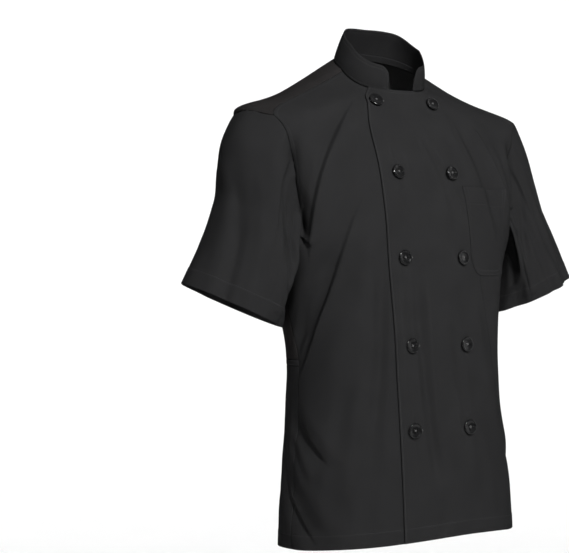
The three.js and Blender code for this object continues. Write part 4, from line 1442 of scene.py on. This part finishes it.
# The grids of outer points of each cut, handed to declare, which only joins a closed grid's ends and
# keeps nothing.


def declare(points, closed=False):
    if closed:
        points = np.concatenate([points, points[:, :1]], 1)


declare(right_points)
declare(left_points)
declare(upper_points)
declare(band_points)
declare(lower_points)
declare(sleeve_right_points, closed=True)
declare(sleeve_left_points, closed=True)
declare(collar_points)
declare(chest_points)
declare(pen_points)


# Studio, metres

FLOOR_Z = -1.45
FLOOR_RADIUS = 7.0
WALL_HEIGHT = 6.0
CURVE_RADIUS = 2.5
WORLD_STRENGTH = 0.6
TARGET = (0.0, 0.0, -0.3)
LIGHTS = (
    {"name": "key", "place": (-0.35, -2.4, 1.35), "size": (0.4, 0.4), "power": 315},
    {"name": "side", "place": (-3.0, -1.2, 1.6), "size": (0.6, 1.2), "power": 24},
    {"name": "fill", "place": (2.9, -2.0, 0.2), "size": (0.6, 1.6), "power": 8},
    {"name": "back", "place": (2.0, 2.3, -0.2), "size": (1.0, 1.0), "power": 90},
)

# Camera: the photograph's angle and framing, metres and pixels
IMAGE = (569.0, 553.0)
VIEW_AZIMUTH = math.radians(-35)
VIEW_HEIGHT = math.radians(1.15)
VIEW_DISTANCE = 2.45
VIEW_TARGET = (0, 0, -0.33)
TARGET_PIXEL = (383.0, 301.0)
METRES_PER_PIXEL = 0.0014
SENSOR = 36.0


def add_floor():
    """A pale round floor whose rim curves up into a wall, the same from every side."""
    flat = FLOOR_RADIUS - CURVE_RADIUS
    profile = [(0.001, 0.0), *((r, 0.0) for r in np.linspace(0.5, flat, 8))]
    for a in np.linspace(0, math.pi / 2, 14)[1:]:
        profile.append((flat + CURVE_RADIUS * math.sin(a), CURVE_RADIUS * (1 - math.cos(a))))
    profile.append((FLOOR_RADIUS, WALL_HEIGHT))
    bowl = lathe_mesh("studio_floor", [(r / MM, (FLOOR_Z + h) / MM) for r, h in profile], 72)
    bowl.data.materials.append(PAPER)


def add_world():
    world = bpy.data.worlds.new("studio")
    world.use_nodes = True
    background = world.node_tree.nodes["Background"]
    background.inputs["Color"].default_value = (1, 1, 1, 1)
    background.inputs["Strength"].default_value = WORLD_STRENGTH
    bpy.context.scene.world = world
    bpy.context.scene.view_settings.view_transform = "Standard"
    bpy.context.scene.view_settings.look = "None"


def aimed(name, data, place, target):
    """An object that looks from one place at another."""
    obj = bpy.data.objects.new(name, data)
    bpy.context.scene.collection.objects.link(obj)
    back = unit(np.subtract(place, target))
    right = unit(np.cross([0, 0, 1.0], back))
    obj.matrix_world = Matrix(axes_matrix(right, np.cross(back, right), back, place))
    return obj


def add_light(light):
    data = bpy.data.lights.new(light["name"], "AREA")
    data.shape = "RECTANGLE"
    data.size, data.size_y = light["size"]
    data.energy = light["power"]
    aimed(light["name"], data, light["place"], TARGET)


def add_camera():
    data = bpy.data.cameras.new("camera")
    a, e = VIEW_AZIMUTH, VIEW_HEIGHT
    back = np.array([math.sin(a) * math.cos(e), -math.cos(a) * math.cos(e), math.sin(e)])
    camera = aimed("camera", data, VIEW_TARGET + back * VIEW_DISTANCE, VIEW_TARGET)
    data.sensor_width = SENSOR
    data.lens = VIEW_DISTANCE / METRES_PER_PIXEL / IMAGE[0] * SENSOR
    data.shift_x = (IMAGE[0] / 2 - TARGET_PIXEL[0]) / IMAGE[0]
    data.shift_y = (TARGET_PIXEL[1] - IMAGE[1] / 2) / IMAGE[0]
    data.clip_end = 50
    bpy.context.scene.camera = camera


add_floor()
add_world()
for light in LIGHTS:
    add_light(light)
add_camera()
